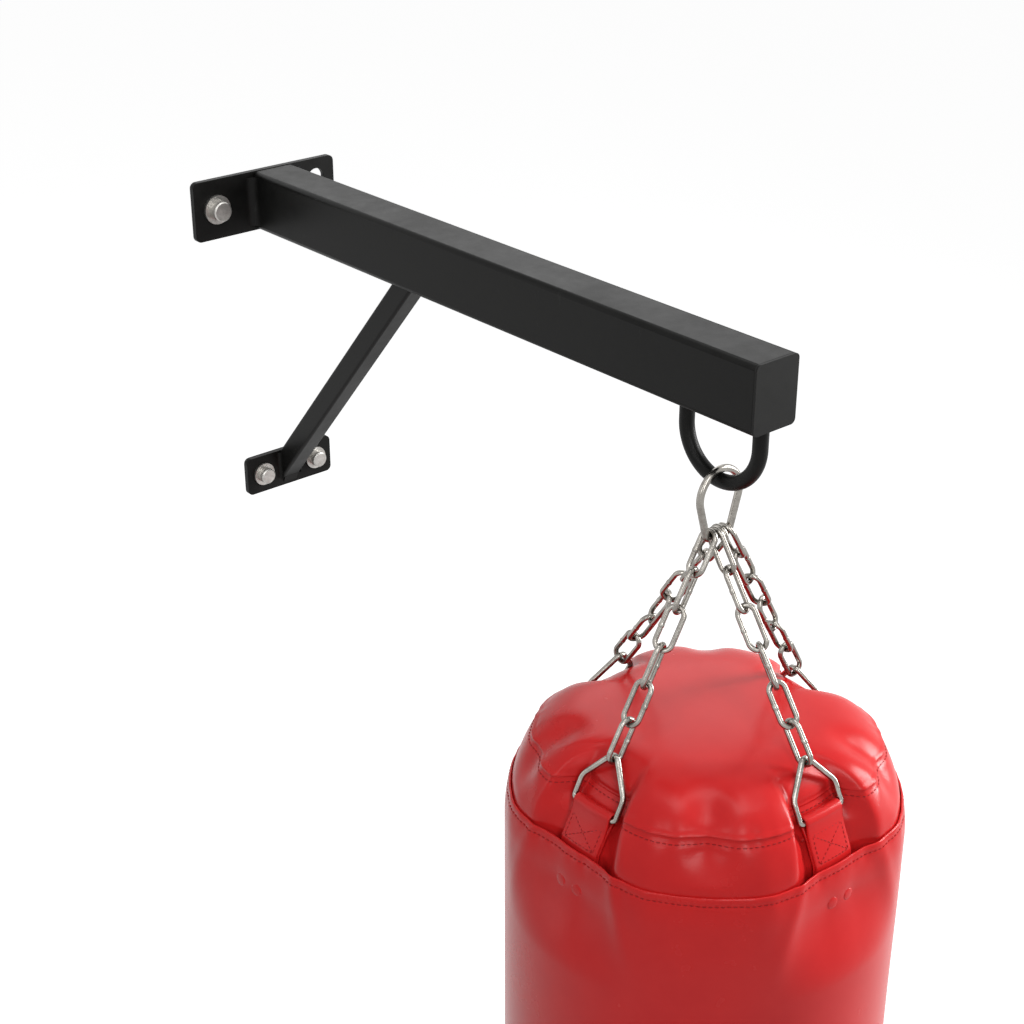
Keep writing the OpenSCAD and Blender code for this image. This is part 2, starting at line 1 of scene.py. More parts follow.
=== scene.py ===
"""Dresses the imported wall-mounted punching bag: vinyl, steel, black coat, camera and soft studio light."""

import json
import logging
import math
from dataclasses import dataclass, field, replace
from enum import Enum
from typing import Callable, ClassVar, Iterable, Sequence

import bmesh
import bpy
from mathutils import Matrix, Vector, noise
from mathutils.bvhtree import BVHTree


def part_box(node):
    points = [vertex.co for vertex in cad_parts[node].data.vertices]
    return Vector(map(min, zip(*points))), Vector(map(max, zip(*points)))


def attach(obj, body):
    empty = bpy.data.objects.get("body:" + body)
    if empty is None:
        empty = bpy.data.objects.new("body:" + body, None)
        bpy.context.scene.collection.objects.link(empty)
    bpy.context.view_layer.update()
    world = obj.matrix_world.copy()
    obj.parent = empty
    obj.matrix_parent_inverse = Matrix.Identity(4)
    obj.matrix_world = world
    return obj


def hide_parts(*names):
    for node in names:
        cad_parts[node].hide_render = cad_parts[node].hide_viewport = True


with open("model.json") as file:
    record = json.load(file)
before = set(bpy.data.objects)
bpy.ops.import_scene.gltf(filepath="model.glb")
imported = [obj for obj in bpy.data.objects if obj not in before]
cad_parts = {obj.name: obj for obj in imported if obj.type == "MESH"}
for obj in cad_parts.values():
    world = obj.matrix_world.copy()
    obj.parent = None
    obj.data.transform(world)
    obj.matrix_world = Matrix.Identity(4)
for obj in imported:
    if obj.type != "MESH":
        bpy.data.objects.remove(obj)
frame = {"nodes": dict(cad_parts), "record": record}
log = logging.getLogger("punching_bag")

MM = 0.001
IMAGE_SIDE = 1024
WHITE = (1.0, 1.0, 1.0)
D_RING_ROD_R = 2.25 * MM

Colour = tuple[float, float, float]
Skin = tuple[list[Vector], list[list[int]]]

# What the photograph shows and where, in its own pixels
IMAGE_POINTS: dict[str, tuple[float, float]] = {
    "beam_tip_top_left": (757.3, 366.0),
    "beam_tip_top_right": (800.0, 351.0),
    "beam_tip_bottom_left": (753.4, 439.3),
    "beam_tip_bottom_right": (795.0, 423.5),
    "upper_plate_top_left": (188.5, 185.1),
    "lower_plate_bottom_left": (246.5, 497.1),
    "lower_plate_top_right": (329.2, 434.8),
    "upper_bolt_head": (223.3, 211.2),
    "lower_left_bolt_head": (270.0, 476.9),
    "hook_bottom": (733.7, 494.5),
    "left_d_ring_top": (611.0, 756.0),
    "front_d_ring_top": (808.0, 760.0),
    "seam_middle": (723.0, 839.4),
    "hem_middle": (709.4, 898.3),
    "front_flute": (706.0, 858.0),
    "left_fold": (534.0, 762.0),
    "right_fold": (882.0, 777.0),
    "left_rivet_cap": (576.5, 890.0),
    "bag_left": (504.5, 850.0),
    "bag_right": (903.5, 815.0),
}


class Side(Enum):
    """The four sides of the bag, as turns about its axis from the side that faces away from the wall."""

    FRONT = 0.0
    RIGHT = 90.0
    BACK = 180.0
    LEFT = 270.0


def smooth_step(low: float, high: float, x: float) -> float:
    """Returns 0 below low, 1 above high, and an even rise between them."""
    t = min(1.0, max(0.0, (x - low) / (high - low)))
    return t * t * (3.0 - 2.0 * t)


def hump(x: float, middle: float, width: float) -> float:
    """Returns a bell that is 1 at the middle and fades over the width."""
    return math.exp(-(((x - middle) / width) ** 2))


def turn_gap(phi: float, other: float) -> float:
    """Returns the turn from one angle to another in degrees, from -180 to 180."""
    return (phi - other + 180.0) % 360.0 - 180.0


def axis_vectors(azimuth: float, elevation: float) -> tuple[Vector, Vector, Vector]:
    """Works out the axes of a camera that looks at the object.

    Args:
        azimuth: turn about the vertical in degrees; 0 looks along +Y.
        elevation: degrees above the horizon.

    Returns:
        The camera's right, up and backward unit vectors.
    """
    a, e = math.radians(azimuth), math.radians(elevation)
    back = Vector((math.sin(a) * math.cos(e), -math.cos(a) * math.cos(e), math.sin(e)))
    right = Vector((math.cos(a), math.sin(a), 0.0))
    return right, back.cross(right), back


@dataclass
class PhotoCamera:
    """The camera that took the photograph, fitted to the edges of the beam and the plates."""

    lens: float = 66.94
    sensor: float = 36.0
    azimuth: float = -40.275
    elevation: float = 26.117
    place: Vector = field(default_factory=lambda: Vector((-0.8640, -1.3379, 0.4728)))
    search_from: float = 0.8
    search_step: float = 0.01
    search_count: int = 160
    clip: tuple[float, float] = (0.05, 60.0)

    def build(self) -> bpy.types.Object:
        """Creates the camera object and makes it the scene's camera.

        Returns:
            The camera object.
        """
        data = bpy.data.cameras.new("photo_camera")
        data.lens, data.sensor_width, data.sensor_fit = self.lens, self.sensor, "AUTO"
        data.clip_start, data.clip_end = self.clip
        camera = bpy.data.objects.new("photo_camera", data)
        right, up, back = axis_vectors(self.azimuth, self.elevation)
        turn = Matrix((right, up, back)).transposed()
        camera.matrix_world = Matrix.Translation(self.place) @ turn.to_4x4()
        bpy.context.collection.objects.link(camera)
        bpy.context.scene.camera = camera
        return camera

    def ray(self, x: float, y: float) -> Vector:
        """Returns the direction in the row frame of the ray through an image point."""
        right, up, back = axis_vectors(self.azimuth, self.elevation)
        across, rise = x - IMAGE_SIDE / 2, IMAGE_SIDE / 2 - y
        return (right * across + up * rise - back * (IMAGE_SIDE * self.lens / self.sensor)).normalized()

    def pixel(self, point: Vector) -> tuple[float, float]:
        """Returns the image point at which a point of the row frame shows."""
        right, up, back = axis_vectors(self.azimuth, self.elevation)
        away = Vector(point) - self.place
        scale = IMAGE_SIDE * self.lens / self.sensor / -away.dot(back)
        return IMAGE_SIDE / 2 + away.dot(right) * scale, IMAGE_SIDE / 2 - away.dot(up) * scale

    def meet(self, tree: BVHTree, name: str) -> Vector:
        """Finds where the ray through a named image point meets a surface.

        Args:
            tree: the surface, as finished and placed.
            name: the image point's name.

        Returns:
            The point on the surface, or the surface's place nearest the ray where it misses.
        """
        way = self.ray(*IMAGE_POINTS[name])
        hit = tree.ray_cast(self.place, way)[0]
        if hit is not None:
            return hit
        reaches = (self.search_from + self.search_step * k for k in range(self.search_count))
        found = (tree.find_nearest(self.place + way * reach) for reach in reaches)
        return min(found, key=lambda entry: entry[3])[0]


# ----------------------------------------------------------------------------------------------
# Materials
# ----------------------------------------------------------------------------------------------


class NodeSheet:
    """The nodes of one material or node group, with short calls to add and join them."""

    def __init__(self, tree: bpy.types.NodeTree) -> None:
        """Starts on an empty tree."""
        self.tree = tree
        tree.nodes.clear()

    def add(self, kind: str, settings: dict | None = None, **sockets) -> bpy.types.Node:
        """Adds a node and fills its inputs.

        Args:
            kind: the node's type without the ShaderNode prefix, or a full type name.
            settings: the node's own properties.
            **sockets: inputs by name, with underscores for spaces; an output socket is linked.

        Returns:
            The node.
        """
        node = self.tree.nodes.new(kind if kind.startswith("Node") else "ShaderNode" + kind)
        for key, value in (settings or {}).items():
            setattr(node, key, value)
        for key, value in sockets.items():
            self.fill(node.inputs[key.replace("_", " ")], value)
        return node

    def fill(self, socket: bpy.types.NodeSocket, value) -> None:
        """Links an output to a socket, or sets the socket's own value."""
        if isinstance(value, bpy.types.NodeSocket):
            self.tree.links.new(value, socket)
        elif isinstance(value, tuple) and socket.type == "RGBA":
            socket.default_value = (*value, 1.0) if len(value) == 3 else value
        else:
            socket.default_value = value

    def ramp(self, value, low: float, high: float, to_low: float, to_high: float) -> bpy.types.NodeSocket:
        """Returns an output that carries value from one range to another, clamped."""
        node = self.add("MapRange", {"clamp": True})
        names = ("Value", "From Min", "From Max", "To Min", "To Max")
        for name, entry in zip(names, (value, low, high, to_low, to_high)):
            self.fill(node.inputs[name], entry)
        return node.outputs["Result"]

    def maths(self, operation: str, first, second) -> bpy.types.NodeSocket:
        """Returns the output of a Math node."""
        node = self.add("Math", {"operation": operation})
        self.fill(node.inputs[0], first)
        self.fill(node.inputs[1], second)
        return node.outputs[0]

    def blend(self, amount, first, second) -> bpy.types.NodeSocket:
        """Returns the output of a colour Mix node."""
        node = self.add("Mix", {"data_type": "RGBA"})
        self.fill(node.inputs["Factor"], amount)
        self.fill(node.inputs["A"], first)
        self.fill(node.inputs["B"], second)
        return node.outputs[2]


def ray_mask(sheet: NodeSheet, *kinds: str) -> bpy.types.NodeSocket:
    """Returns an output that is 1 for light rays of any of the kinds, and 0 for the others."""
    rays = sheet.add("LightPath").outputs
    found = rays[kinds[0]]
    for kind in kinds[1:]:
        found = sheet.maths("MAXIMUM", found, rays[kind])
    return found


def new_group(
    name: str, takes: dict[str, float | None], gives: Sequence[str]
) -> tuple[NodeSheet, bpy.types.Node, bpy.types.Node]:
    """Starts a shader node group.

    Args:
        name: the group's name.
        takes: default of each input by name; besides these inputs it has a Place.
        gives: name of each output.

    Returns:
        The group's sheet, its input node and its output node.
    """
    kinds = {"Place": "Vector", "Dark": "Color", "Light": "Color", "Color": "Color"}
    tree = bpy.data.node_groups.new(name, "ShaderNodeTree")
    sheet = NodeSheet(tree)
    for labels, way in ((("Place", *takes), "INPUT"), (gives, "OUTPUT")):
        for label in labels:
            kind = "NodeSocket" + kinds.get(label, "Float")
            socket = tree.interface.new_socket(label, in_out=way, socket_type=kind)
            if takes.get(label) is not None:
                socket.default_value = takes[label]
    return sheet, sheet.add("NodeGroupInput"), sheet.add("NodeGroupOutput")


class Effects:
    """Node groups that several finishes share, each built once."""

    def __init__(self) -> None:
        """Builds every group."""
        self.mottle = self._mottle()
        self.wear = self._wear()
        self.grain = self._grain()
        self.peel = self._peel()

    def _mottle(self) -> bpy.types.NodeTree:
        """Cloudy variation: a value from 0 to 1 at two scales, and a colour between two."""
        takes = {"Scale": 20.0, "Dark": None, "Light": None}
        sheet, taken, given = new_group("cloudy_mottle", takes, ("Value", "Color"))
        place, scale = taken.outputs["Place"], taken.outputs["Scale"]
        broad = sheet.add("TexNoise", Vector=place, Scale=scale, Detail=4.0, Roughness=0.55)
        finer = sheet.maths("MULTIPLY", scale, 7.3)
        small = sheet.add("TexNoise", Vector=place, Scale=finer, Detail=3.0, Roughness=0.6)
        most = sheet.maths("MULTIPLY", broad.outputs["Fac"], 0.65)
        mixed = sheet.maths("ADD", most, sheet.maths("MULTIPLY", small.outputs["Fac"], 0.35))
        value = sheet.ramp(mixed, 0.36, 0.64, 0.0, 1.0)
        colour = sheet.blend(value, taken.outputs["Dark"], taken.outputs["Light"])
        sheet.fill(given.inputs["Value"], value)
        sheet.fill(given.inputs["Color"], colour)
        return sheet.tree

    def _wear(self) -> bpy.types.NodeTree:
        """Fine scuffs: a mask of short thin scratches."""
        sheet, taken, given = new_group("fine_scuffs", {"Scale": 60.0, "Amount": 0.3}, ("Mask",))
        bend = sheet.add("TexNoise", Vector=taken.outputs["Place"], Scale=14.0, Detail=2.0)
        warped = sheet.add("VectorMath", {"operation": "ADD"})
        sheet.fill(warped.inputs[0], taken.outputs["Place"])
        small = sheet.add("VectorMath", {"operation": "SCALE"})
        sheet.fill(small.inputs[0], bend.outputs["Color"])
        small.inputs["Scale"].default_value = 0.05
        sheet.fill(warped.inputs[1], small.outputs[0])
        stretch = sheet.add("Mapping", {"vector_type": "TEXTURE"}, Vector=warped.outputs[0])
        stretch.inputs["Rotation"].default_value = (0.5, 0.9, 0.35)
        stretch.inputs["Scale"].default_value = (9.0, 1.0, 1.0)
        scale = taken.outputs["Scale"]
        lines = sheet.add("TexNoise", Vector=stretch.outputs[0], Scale=scale, Detail=5.0, Roughness=0.75)
        thin = sheet.ramp(lines.outputs["Fac"], 0.62, 0.72, 0.0, 1.0)
        where = sheet.add("TexNoise", Vector=taken.outputs["Place"], Scale=9.0, Detail=2.0)
        patch = sheet.ramp(where.outputs["Fac"], 0.45, 0.7, 0.0, 1.0)
        mask = sheet.maths("MULTIPLY", sheet.maths("MULTIPLY", thin, patch), taken.outputs["Amount"])
        sheet.fill(given.inputs["Mask"], mask)
        return sheet.tree

    def _grain(self) -> bpy.types.NodeTree:
        """Embossed leather grain: small rounded cells with fine creases between them."""
        sheet, taken, given = new_group("leather_grain", {"Scale": 900.0, "Crease": 0.6}, ("Height",))
        place, scale = taken.outputs["Place"], taken.outputs["Scale"]
        cells = sheet.add("TexVoronoi", {"feature": "SMOOTH_F1"}, Vector=place, Scale=scale, Smoothness=0.4)
        wider = sheet.maths("MULTIPLY", scale, 0.45)
        edge = sheet.add("TexVoronoi", {"feature": "DISTANCE_TO_EDGE"}, Vector=place, Scale=wider)
        crease = sheet.ramp(edge.outputs["Distance"], 0.0, 0.12, 0.0, 1.0)
        cell = sheet.maths("SUBTRACT", 1.0, cells.outputs["Distance"])
        height = sheet.maths("ADD", cell, sheet.maths("MULTIPLY", crease, taken.outputs["Crease"]))
        sheet.fill(given.inputs["Height"], height)
        return sheet.tree

    def _peel(self) -> bpy.types.NodeTree:
        """Orange peel of a sprayed or dipped coat: soft waves and a finer speck."""
        sheet, taken, given = new_group("coat_peel", {"Scale": 400.0}, ("Height",))
        place, scale = taken.outputs["Place"], taken.outputs["Scale"]
        waves = sheet.add("TexNoise", Vector=place, Scale=scale, Detail=2.0, Roughness=0.5)
        finer = sheet.maths("MULTIPLY", scale, 4.0)
        specks = sheet.add("TexNoise", Vector=place, Scale=finer, Detail=2.0, Roughness=0.6)
        low = sheet.maths("MULTIPLY", specks.outputs["Fac"], 0.35)
        height = sheet.maths("ADD", waves.outputs["Fac"], low)
        sheet.fill(given.inputs["Height"], height)
        return sheet.tree


@dataclass(frozen=True)
class Finish:
    """A material made once and given to many pieces: a cloudy colour, fine scuffs and a fine relief.

    Patterns are laid out in metres in the object's frame. The two roughnesses go with the dark and
    the light colour, and a finish without a scuff scale has no scuffs.
    """

    name: str
    dark: Colour
    light: Colour
    roughness: tuple[float, float]
    cloud_scale: float
    relief_scale: float
    relief_depth: float
    relief_strength: float = 0.5
    specular: float = 0.5
    metallic: float = 0.0
    scuff_scale: float = 0.0
    scuff_amount: float = 0.0
    scuff_colour: Colour = WHITE
    scuff_rough: float = 0.0

    def make(self, effects: Effects) -> bpy.types.Material:
        """Creates the material with its nodes.

        Args:
            effects: the shared node groups.

        Returns:
            The material.
        """
        material = bpy.data.materials.new(self.name)
        material.use_nodes = True
        sheet = NodeSheet(material.node_tree)
        output = sheet.add("OutputMaterial")
        sheet.fill(output.inputs["Surface"], self.shade(sheet, effects).outputs[0])
        return material

    def use(self, sheet: NodeSheet, group: bpy.types.NodeTree, **sockets) -> bpy.types.Node:
        """Places a shared effect in the sheet and fills its inputs."""
        node = sheet.add("Group", {"node_tree": group})
        for key, value in sockets.items():
            sheet.fill(node.inputs[key], value)
        return node

    def relief(self, sheet: NodeSheet, effects: Effects, place) -> bpy.types.NodeSocket:
        """Returns the height of the finish's fine relief, an orange peel unless it has its own."""
        return self.use(sheet, effects.peel, Place=place, Scale=self.relief_scale).outputs["Height"]

    def shade(self, sheet: NodeSheet, effects: Effects) -> bpy.types.Node:
        """Adds the finish's shader to the sheet and returns it."""
        place = sheet.add("TexCoord").outputs["Object"]
        cloud = self.use(
            sheet, effects.mottle, Place=place, Scale=self.cloud_scale, Dark=self.dark, Light=self.light
        )
        colour = cloud.outputs["Color"]
        rough = sheet.ramp(cloud.outputs["Value"], 0.0, 1.0, *self.roughness)
        if self.scuff_scale:
            scuffs = self.use(
                sheet, effects.wear, Place=place, Scale=self.scuff_scale, Amount=self.scuff_amount
            ).outputs["Mask"]
            colour = sheet.blend(scuffs, colour, self.scuff_colour)
            rough = sheet.maths("ADD", rough, sheet.maths("MULTIPLY", scuffs, self.scuff_rough))
        height = self.relief(sheet, effects, place)
        bump = sheet.add(
            "Bump", Strength=self.relief_strength, Distance=self.relief_depth, Height=height
        )
        return sheet.add(
            "BsdfPrincipled", Base_Color=colour, Metallic=self.metallic, Roughness=rough,
            Specular_IOR_Level=self.specular, Normal=bump.outputs[0],
        )


@dataclass(frozen=True)
class BlackCoat(Finish):
    """Satin black powder coat with a faint orange peel."""

    name: str = "black_coat"
    dark: Colour = (0.0045, 0.0045, 0.0042)
    light: Colour = (0.0085, 0.0085, 0.008)
    roughness: tuple[float, float] = (0.36, 0.46)
    cloud_scale: float = 16.0
    relief_scale: float = 420.0
    relief_depth: float = 0.04 * MM
    relief_strength: float = 0.55
    specular: float = 0.12
    scuff_scale: float = 70.0
    scuff_amount: float = 0.35
    scuff_colour: Colour = (0.06, 0.06, 0.058)
    scuff_rough: float = 0.15


@dataclass(frozen=True)
class PlatedSteel(Finish):
    """Zinc-plated steel: bright metal with cloudy plating and fine scratches."""

    name: str = "plated_steel"
    dark: Colour = (0.22, 0.205, 0.185)
    light: Colour = (0.39, 0.372, 0.34)
    roughness: tuple[float, float] = (0.28, 0.16)
    cloud_scale: float = 90.0
    relief_scale: float = 900.0
    relief_depth: float = 0.03 * MM
    relief_strength: float = 0.35
    metallic: float = 1.0
    scuff_scale: float = 240.0
    scuff_amount: float = 0.5
    scuff_colour: Colour = (0.30, 0.285, 0.26)
    scuff_rough: float = 0.2


@dataclass(frozen=True)
class RedVinyl(Finish):
    """Glossy red vinyl with an embossed leather grain and slow changes of tone."""

    name: str = "red_vinyl"
    dark: Colour = (0.57, 0.013, 0.014)
    light: Colour = (0.62, 0.018, 0.018)
    roughness: tuple[float, float] = (0.24, 0.28)
    cloud_scale: float = 6.0
    relief_scale: float = 1100.0
    relief_depth: float = 0.03 * MM
    specular: float = 0.20
    scuff_scale: float = 90.0
    scuff_amount: float = 0.05
    scuff_colour: Colour = (0.62, 0.06, 0.055)
    scuff_rough: float = 0.05
    crease: float = 0.5

    def relief(self, sheet: NodeSheet, effects: Effects, place) -> bpy.types.NodeSocket:
        """Returns the height of the leather grain."""
        grain = self.use(sheet, effects.grain, Place=place, Scale=self.relief_scale, Crease=self.crease)
        return grain.outputs["Height"]


@dataclass(frozen=True)
class Thread(Finish):
    """Twisted sewing thread, darker than the vinyl."""

    name: str = "red_thread"
    dark: Colour = (0.28, 0.009, 0.010)
    light: Colour = (0.37, 0.013, 0.014)
    roughness: tuple[float, float] = (0.6, 0.8)
    cloud_scale: float = 500.0
    relief_scale: float = 900.0
    relief_depth: float = 0.1 * MM
    relief_strength: float = 0.6
    specular: float = 0.2

    def relief(self, sheet: NodeSheet, effects: Effects, place) -> bpy.types.NodeSocket:
        """Returns the height of the thread's twist."""
        bands = {"wave_type": "BANDS", "bands_direction": "DIAGONAL"}
        twist = sheet.add("TexWave", bands, Vector=place, Scale=self.relief_scale, Distortion=1.0)
        return twist.outputs["Fac"]


@dataclass(frozen=True)
class BlackPlastic(Finish):
    """Moulded black plastic with a fine spark-eroded texture."""

    name: str = "black_plastic"
    dark: Colour = (0.006, 0.006, 0.0057)
    light: Colour = (0.010, 0.010, 0.0095)
    roughness: tuple[float, float] = (0.45, 0.55)
    cloud_scale: float = 30.0
    relief_scale: float = 1500.0
    relief_depth: float = 0.06 * MM
    specular: float = 0.14


def pale_floor(colour: Colour = (0.80, 0.80, 0.80), glow: float = 0.82) -> bpy.types.Material:
    """Makes the studio floor's material: white with the object's soft shadow, plain white in reflections.

    Args:
        colour: the floor's own colour, which takes the shadow.
        glow: the light that it adds where the camera sees it.

    Returns:
        The material.
    """
    material = bpy.data.materials.new("pale_floor")
    material.use_nodes = True
    sheet = NodeSheet(material.node_tree)
    output = sheet.add("OutputMaterial")
    plain = sheet.add("BsdfDiffuse", Color=colour)
    seen = sheet.maths("MULTIPLY", ray_mask(sheet, "Is Camera Ray"), glow)
    light = sheet.add("Emission", Color=WHITE, Strength=seen)
    both = sheet.add("AddShader")
    sheet.fill(both.inputs[0], plain.outputs[0])
    sheet.fill(both.inputs[1], light.outputs[0])
    mirrored = ray_mask(sheet, "Is Glossy Ray", "Is Transmission Ray")
    white = sheet.add("Emission", Color=WHITE, Strength=1.0)
    mix = sheet.add("MixShader")
    for socket, value in zip(mix.inputs, (mirrored, both.outputs[0], white.outputs[0])):
        sheet.fill(socket, value)
    sheet.fill(output.inputs["Surface"], mix.outputs[0])
    return material


# ----------------------------------------------------------------------------------------------
# Mesh helpers
# ----------------------------------------------------------------------------------------------


def new_piece(
    name: str, points: Sequence[Vector], faces: Sequence[Sequence[int]], smooth: bool = True
) -> bpy.types.Object:
    """Makes a mesh object in the row frame.

    Args:
        name: the piece's name.
        points: its vertices.
        faces: its faces as lists of vertex numbers.
        smooth: whether its faces are shaded smooth.

    Returns:
        The object.
    """
    mesh = bpy.data.meshes.new(name)
    mesh.from_pydata([tuple(p) for p in points], [], [tuple(f) for f in faces])
    mesh.validate()
    tidy = bmesh.new()
    tidy.from_mesh(mesh)
    bmesh.ops.recalc_face_normals(tidy, faces=tidy.faces)
    tidy.to_mesh(mesh)
    tidy.free()
    for face in mesh.polygons:
        face.use_smooth = smooth
    piece = bpy.data.objects.new(name, mesh)
    bpy.context.collection.objects.link(piece)
    return piece


def grid(rows: Sequence[Sequence[Vector]], close_ends: bool = False) -> Skin:
    """Joins closed rows of points of equal length into a skin of four-sided faces.

    Args:
        rows: the rows, each with the same number of points.
        close_ends: whether the first and last rows are filled with a face.

    Returns:
        The points and the faces.
    """
    width = len(rows[0])
    points = [p for row in rows for p in row]
    faces = []
    for k in range(len(rows) - 1):
        low, high = k * width, (k + 1) * width
        for i in range(width):
            j = (i + 1) % width
            faces.append([low + i, low + j, high + j, high + i])
    if close_ends:
        faces.append(list(range(width)))
        faces.append([(len(rows) - 1) * width + i for i in reversed(range(width))])
    return points, faces


def add_skin(whole: Skin, part: Skin) -> None:
    """Adds one skin's points and faces to another's."""
    start = len(whole[0])
    whole[0].extend(part[0])
    whole[1].extend([start + i for i in face] for face in part[1])


def turned(
    here: Vector, axes: tuple[Vector, Vector, Vector], profile: Sequence[tuple[float, float]], count: int
) -> list[list[Vector]]:
    """Lays out a turned shape.

    Args:
        here: the middle of its foot.
        axes: two directions across it and one along it.
        profile: its radius and height at each row.
        count: points in each row.

    Returns:
        The rows of points.
    """
    first, second, along = axes
    turns = [2 * math.pi * k / count for k in range(count)]
    return [
        [here + (first * math.cos(a) + second * math.sin(a)) * r + along * h for a in turns]
        for r, h in profile
    ]


def tree_of(*pieces: bpy.types.Object) -> BVHTree:
    """Returns the surface of several finished pieces together, for rays to meet."""
    points, faces = [], []
    graph = bpy.context.evaluated_depsgraph_get()
    for piece in pieces:
        shown = piece.evaluated_get(graph)
        mesh = shown.to_mesh()
        start = len(points)
        points.extend(piece.matrix_world @ v.co for v in mesh.vertices)
        faces.extend([start + i for i in f.vertices] for f in mesh.polygons)
        shown.to_mesh_clear()
    return BVHTree.FromPolygons(points, faces)


@dataclass(frozen=True)
class Settling:
    """How a skin is let swell between the places where it is held.

    The push is the filling's pressure, and the cap is the furthest that a point may move.
    """

    push: float = 3.0
    frames: int = 16
    cap: float = 4 * MM
    quality: int = 5
    mass: float = 0.25
    stretch: float = 15.0
    shear: float = 8.0
    bending: float = 12.0

    def run(self, piece: bpy.types.Object, hold: Sequence[float]) -> None:
        """Lets the skin swell by a cloth simulation, and applies the result to its mesh.

        Args:
            piece: the skin, with its faces turned outward.
            hold: how firmly each of its points is held, from 0 to 1.
        """
        held = piece.vertex_groups.new(name="held")
        for index, weight in enumerate(hold):
            held.add([index], weight, "REPLACE")
        cloth = piece.modifiers.new("settle", "CLOTH")
        rules = cloth.settings
        rules.vertex_group_mass = "held"
        rules.quality, rules.mass = self.quality, self.mass
        rules.tension_stiffness, rules.compression_stiffness = self.stretch, self.stretch
        rules.shear_stiffness, rules.bending_stiffness = self.shear, self.bending
        rules.use_pressure, rules.uniform_pressure_force = True, self.push
        rules.effector_weights.gravity = 0.0
        cloth.collision_settings.use_collision = False
        cloth.point_cache.frame_start, cloth.point_cache.frame_end = 1, self.frames
        for step in range(1, self.frames + 1):
            bpy.context.scene.frame_set(step)
        shown = piece.evaluated_get(bpy.context.evaluated_depsgraph_get())
        places = [vert.co.copy() for vert in shown.data.vertices]
        piece.modifiers.remove(cloth)
        piece.vertex_groups.remove(held)
        furthest = 0.0
        for vert, place in zip(piece.data.vertices, places):
            move = place - vert.co
            furthest = max(furthest, move.length)
            if move.length > self.cap:
                move *= self.cap / move.length
            vert.co += move
        bpy.context.scene.frame_set(1)
        log.info("%s settled, %.1f mm at most", piece.name, furthest / MM)


@dataclass
class StitchRun:
    """A row of sewn stitches: short rounded threads that lie half sunk along a line."""

    length: float = 2.9 * MM
    gap: float = 1.3 * MM
    radius: float = 0.38 * MM
    sides: int = 6
    # Along the stitch from 0 to 1, then lift and thickness as shares of the thread's radius
    PROFILE: ClassVar = (
        (0.0, -0.9, 0.55), (0.12, 0.05, 0.9), (0.5, 0.35, 1.0), (0.88, 0.05, 0.9), (1.0, -0.9, 0.55)
    )

    def one(self, start: Vector, end: Vector, up: Vector) -> Skin:
        """Makes one stitch as a low rounded bar with its ends turned down.

        Args:
            start: where the thread comes out of the skin.
            end: where it goes back in.
            up: the skin's outward direction.

        Returns:
            The points and faces of the stitch.
        """
        way = (end - start).normalized()
        side = way.cross(up).normalized()
        rows = []
        for t, lift, size in self.PROFILE:
            middle = start.lerp(end, t) + up * (lift * self.radius)
            ring = []
            for k in range(self.sides):
                angle = 2 * math.pi * k / self.sides
                ring.append(middle + (side * math.cos(angle) + up * math.sin(angle)) * (self.radius * size))
            rows.append(ring)
        return grid(rows, close_ends=True)

    def along(self, name: str, line: Sequence[tuple[Vector, Vector]]) -> bpy.types.Object:
        """Sews along a closed line on a surface.

        Args:
            name: the piece's name.
            line: points of the line, each with the surface's outward direction.

        Returns:
            The row of stitches as one object.
        """
        return new_piece(name, *self.sew(line, closed=True))

    def sew(self, line: Sequence[tuple[Vector, Vector]], closed: bool) -> Skin:
        """Makes the stitches along a line.

        Args:
            line: points of the line, each with the surface's outward direction.
            closed: whether the line closes on itself.

        Returns:
            The points and faces of all the stitches.
        """
        spots = list(line) + ([line[0]] if closed else [])
        lengths = [0.0]
        for a, b in zip(spots, spots[1:]):
            lengths.append(lengths[-1] + (b[0] - a[0]).length)
        count = max(1, round(lengths[-1] / (self.length + self.gap)))
        pitch = lengths[-1] / count
        whole: Skin = ([], [])
        cursor = 0

        def at(distance: float) -> tuple[Vector, Vector]:
            """Returns the line's place and outward direction at a distance along it."""
            nonlocal cursor
            while cursor > 0 and lengths[cursor] > distance:
                cursor -= 1
            while cursor < len(lengths) - 2 and lengths[cursor + 1] < distance:
                cursor += 1
            part = (distance - lengths[cursor]) / max(1e-9, lengths[cursor + 1] - lengths[cursor])
            a, b = spots[cursor], spots[cursor + 1]
            return a[0].lerp(b[0], part), a[1].lerp(b[1], part).normalized()

        for k in range(count):
            start, up = at(k * pitch + self.gap / 2)
            end, _ = at((k + 1) * pitch - self.gap / 2)
            add_skin(whole, self.one(start, end, up))
        return whole


# ----------------------------------------------------------------------------------------------
# The bag
# ----------------------------------------------------------------------------------------------


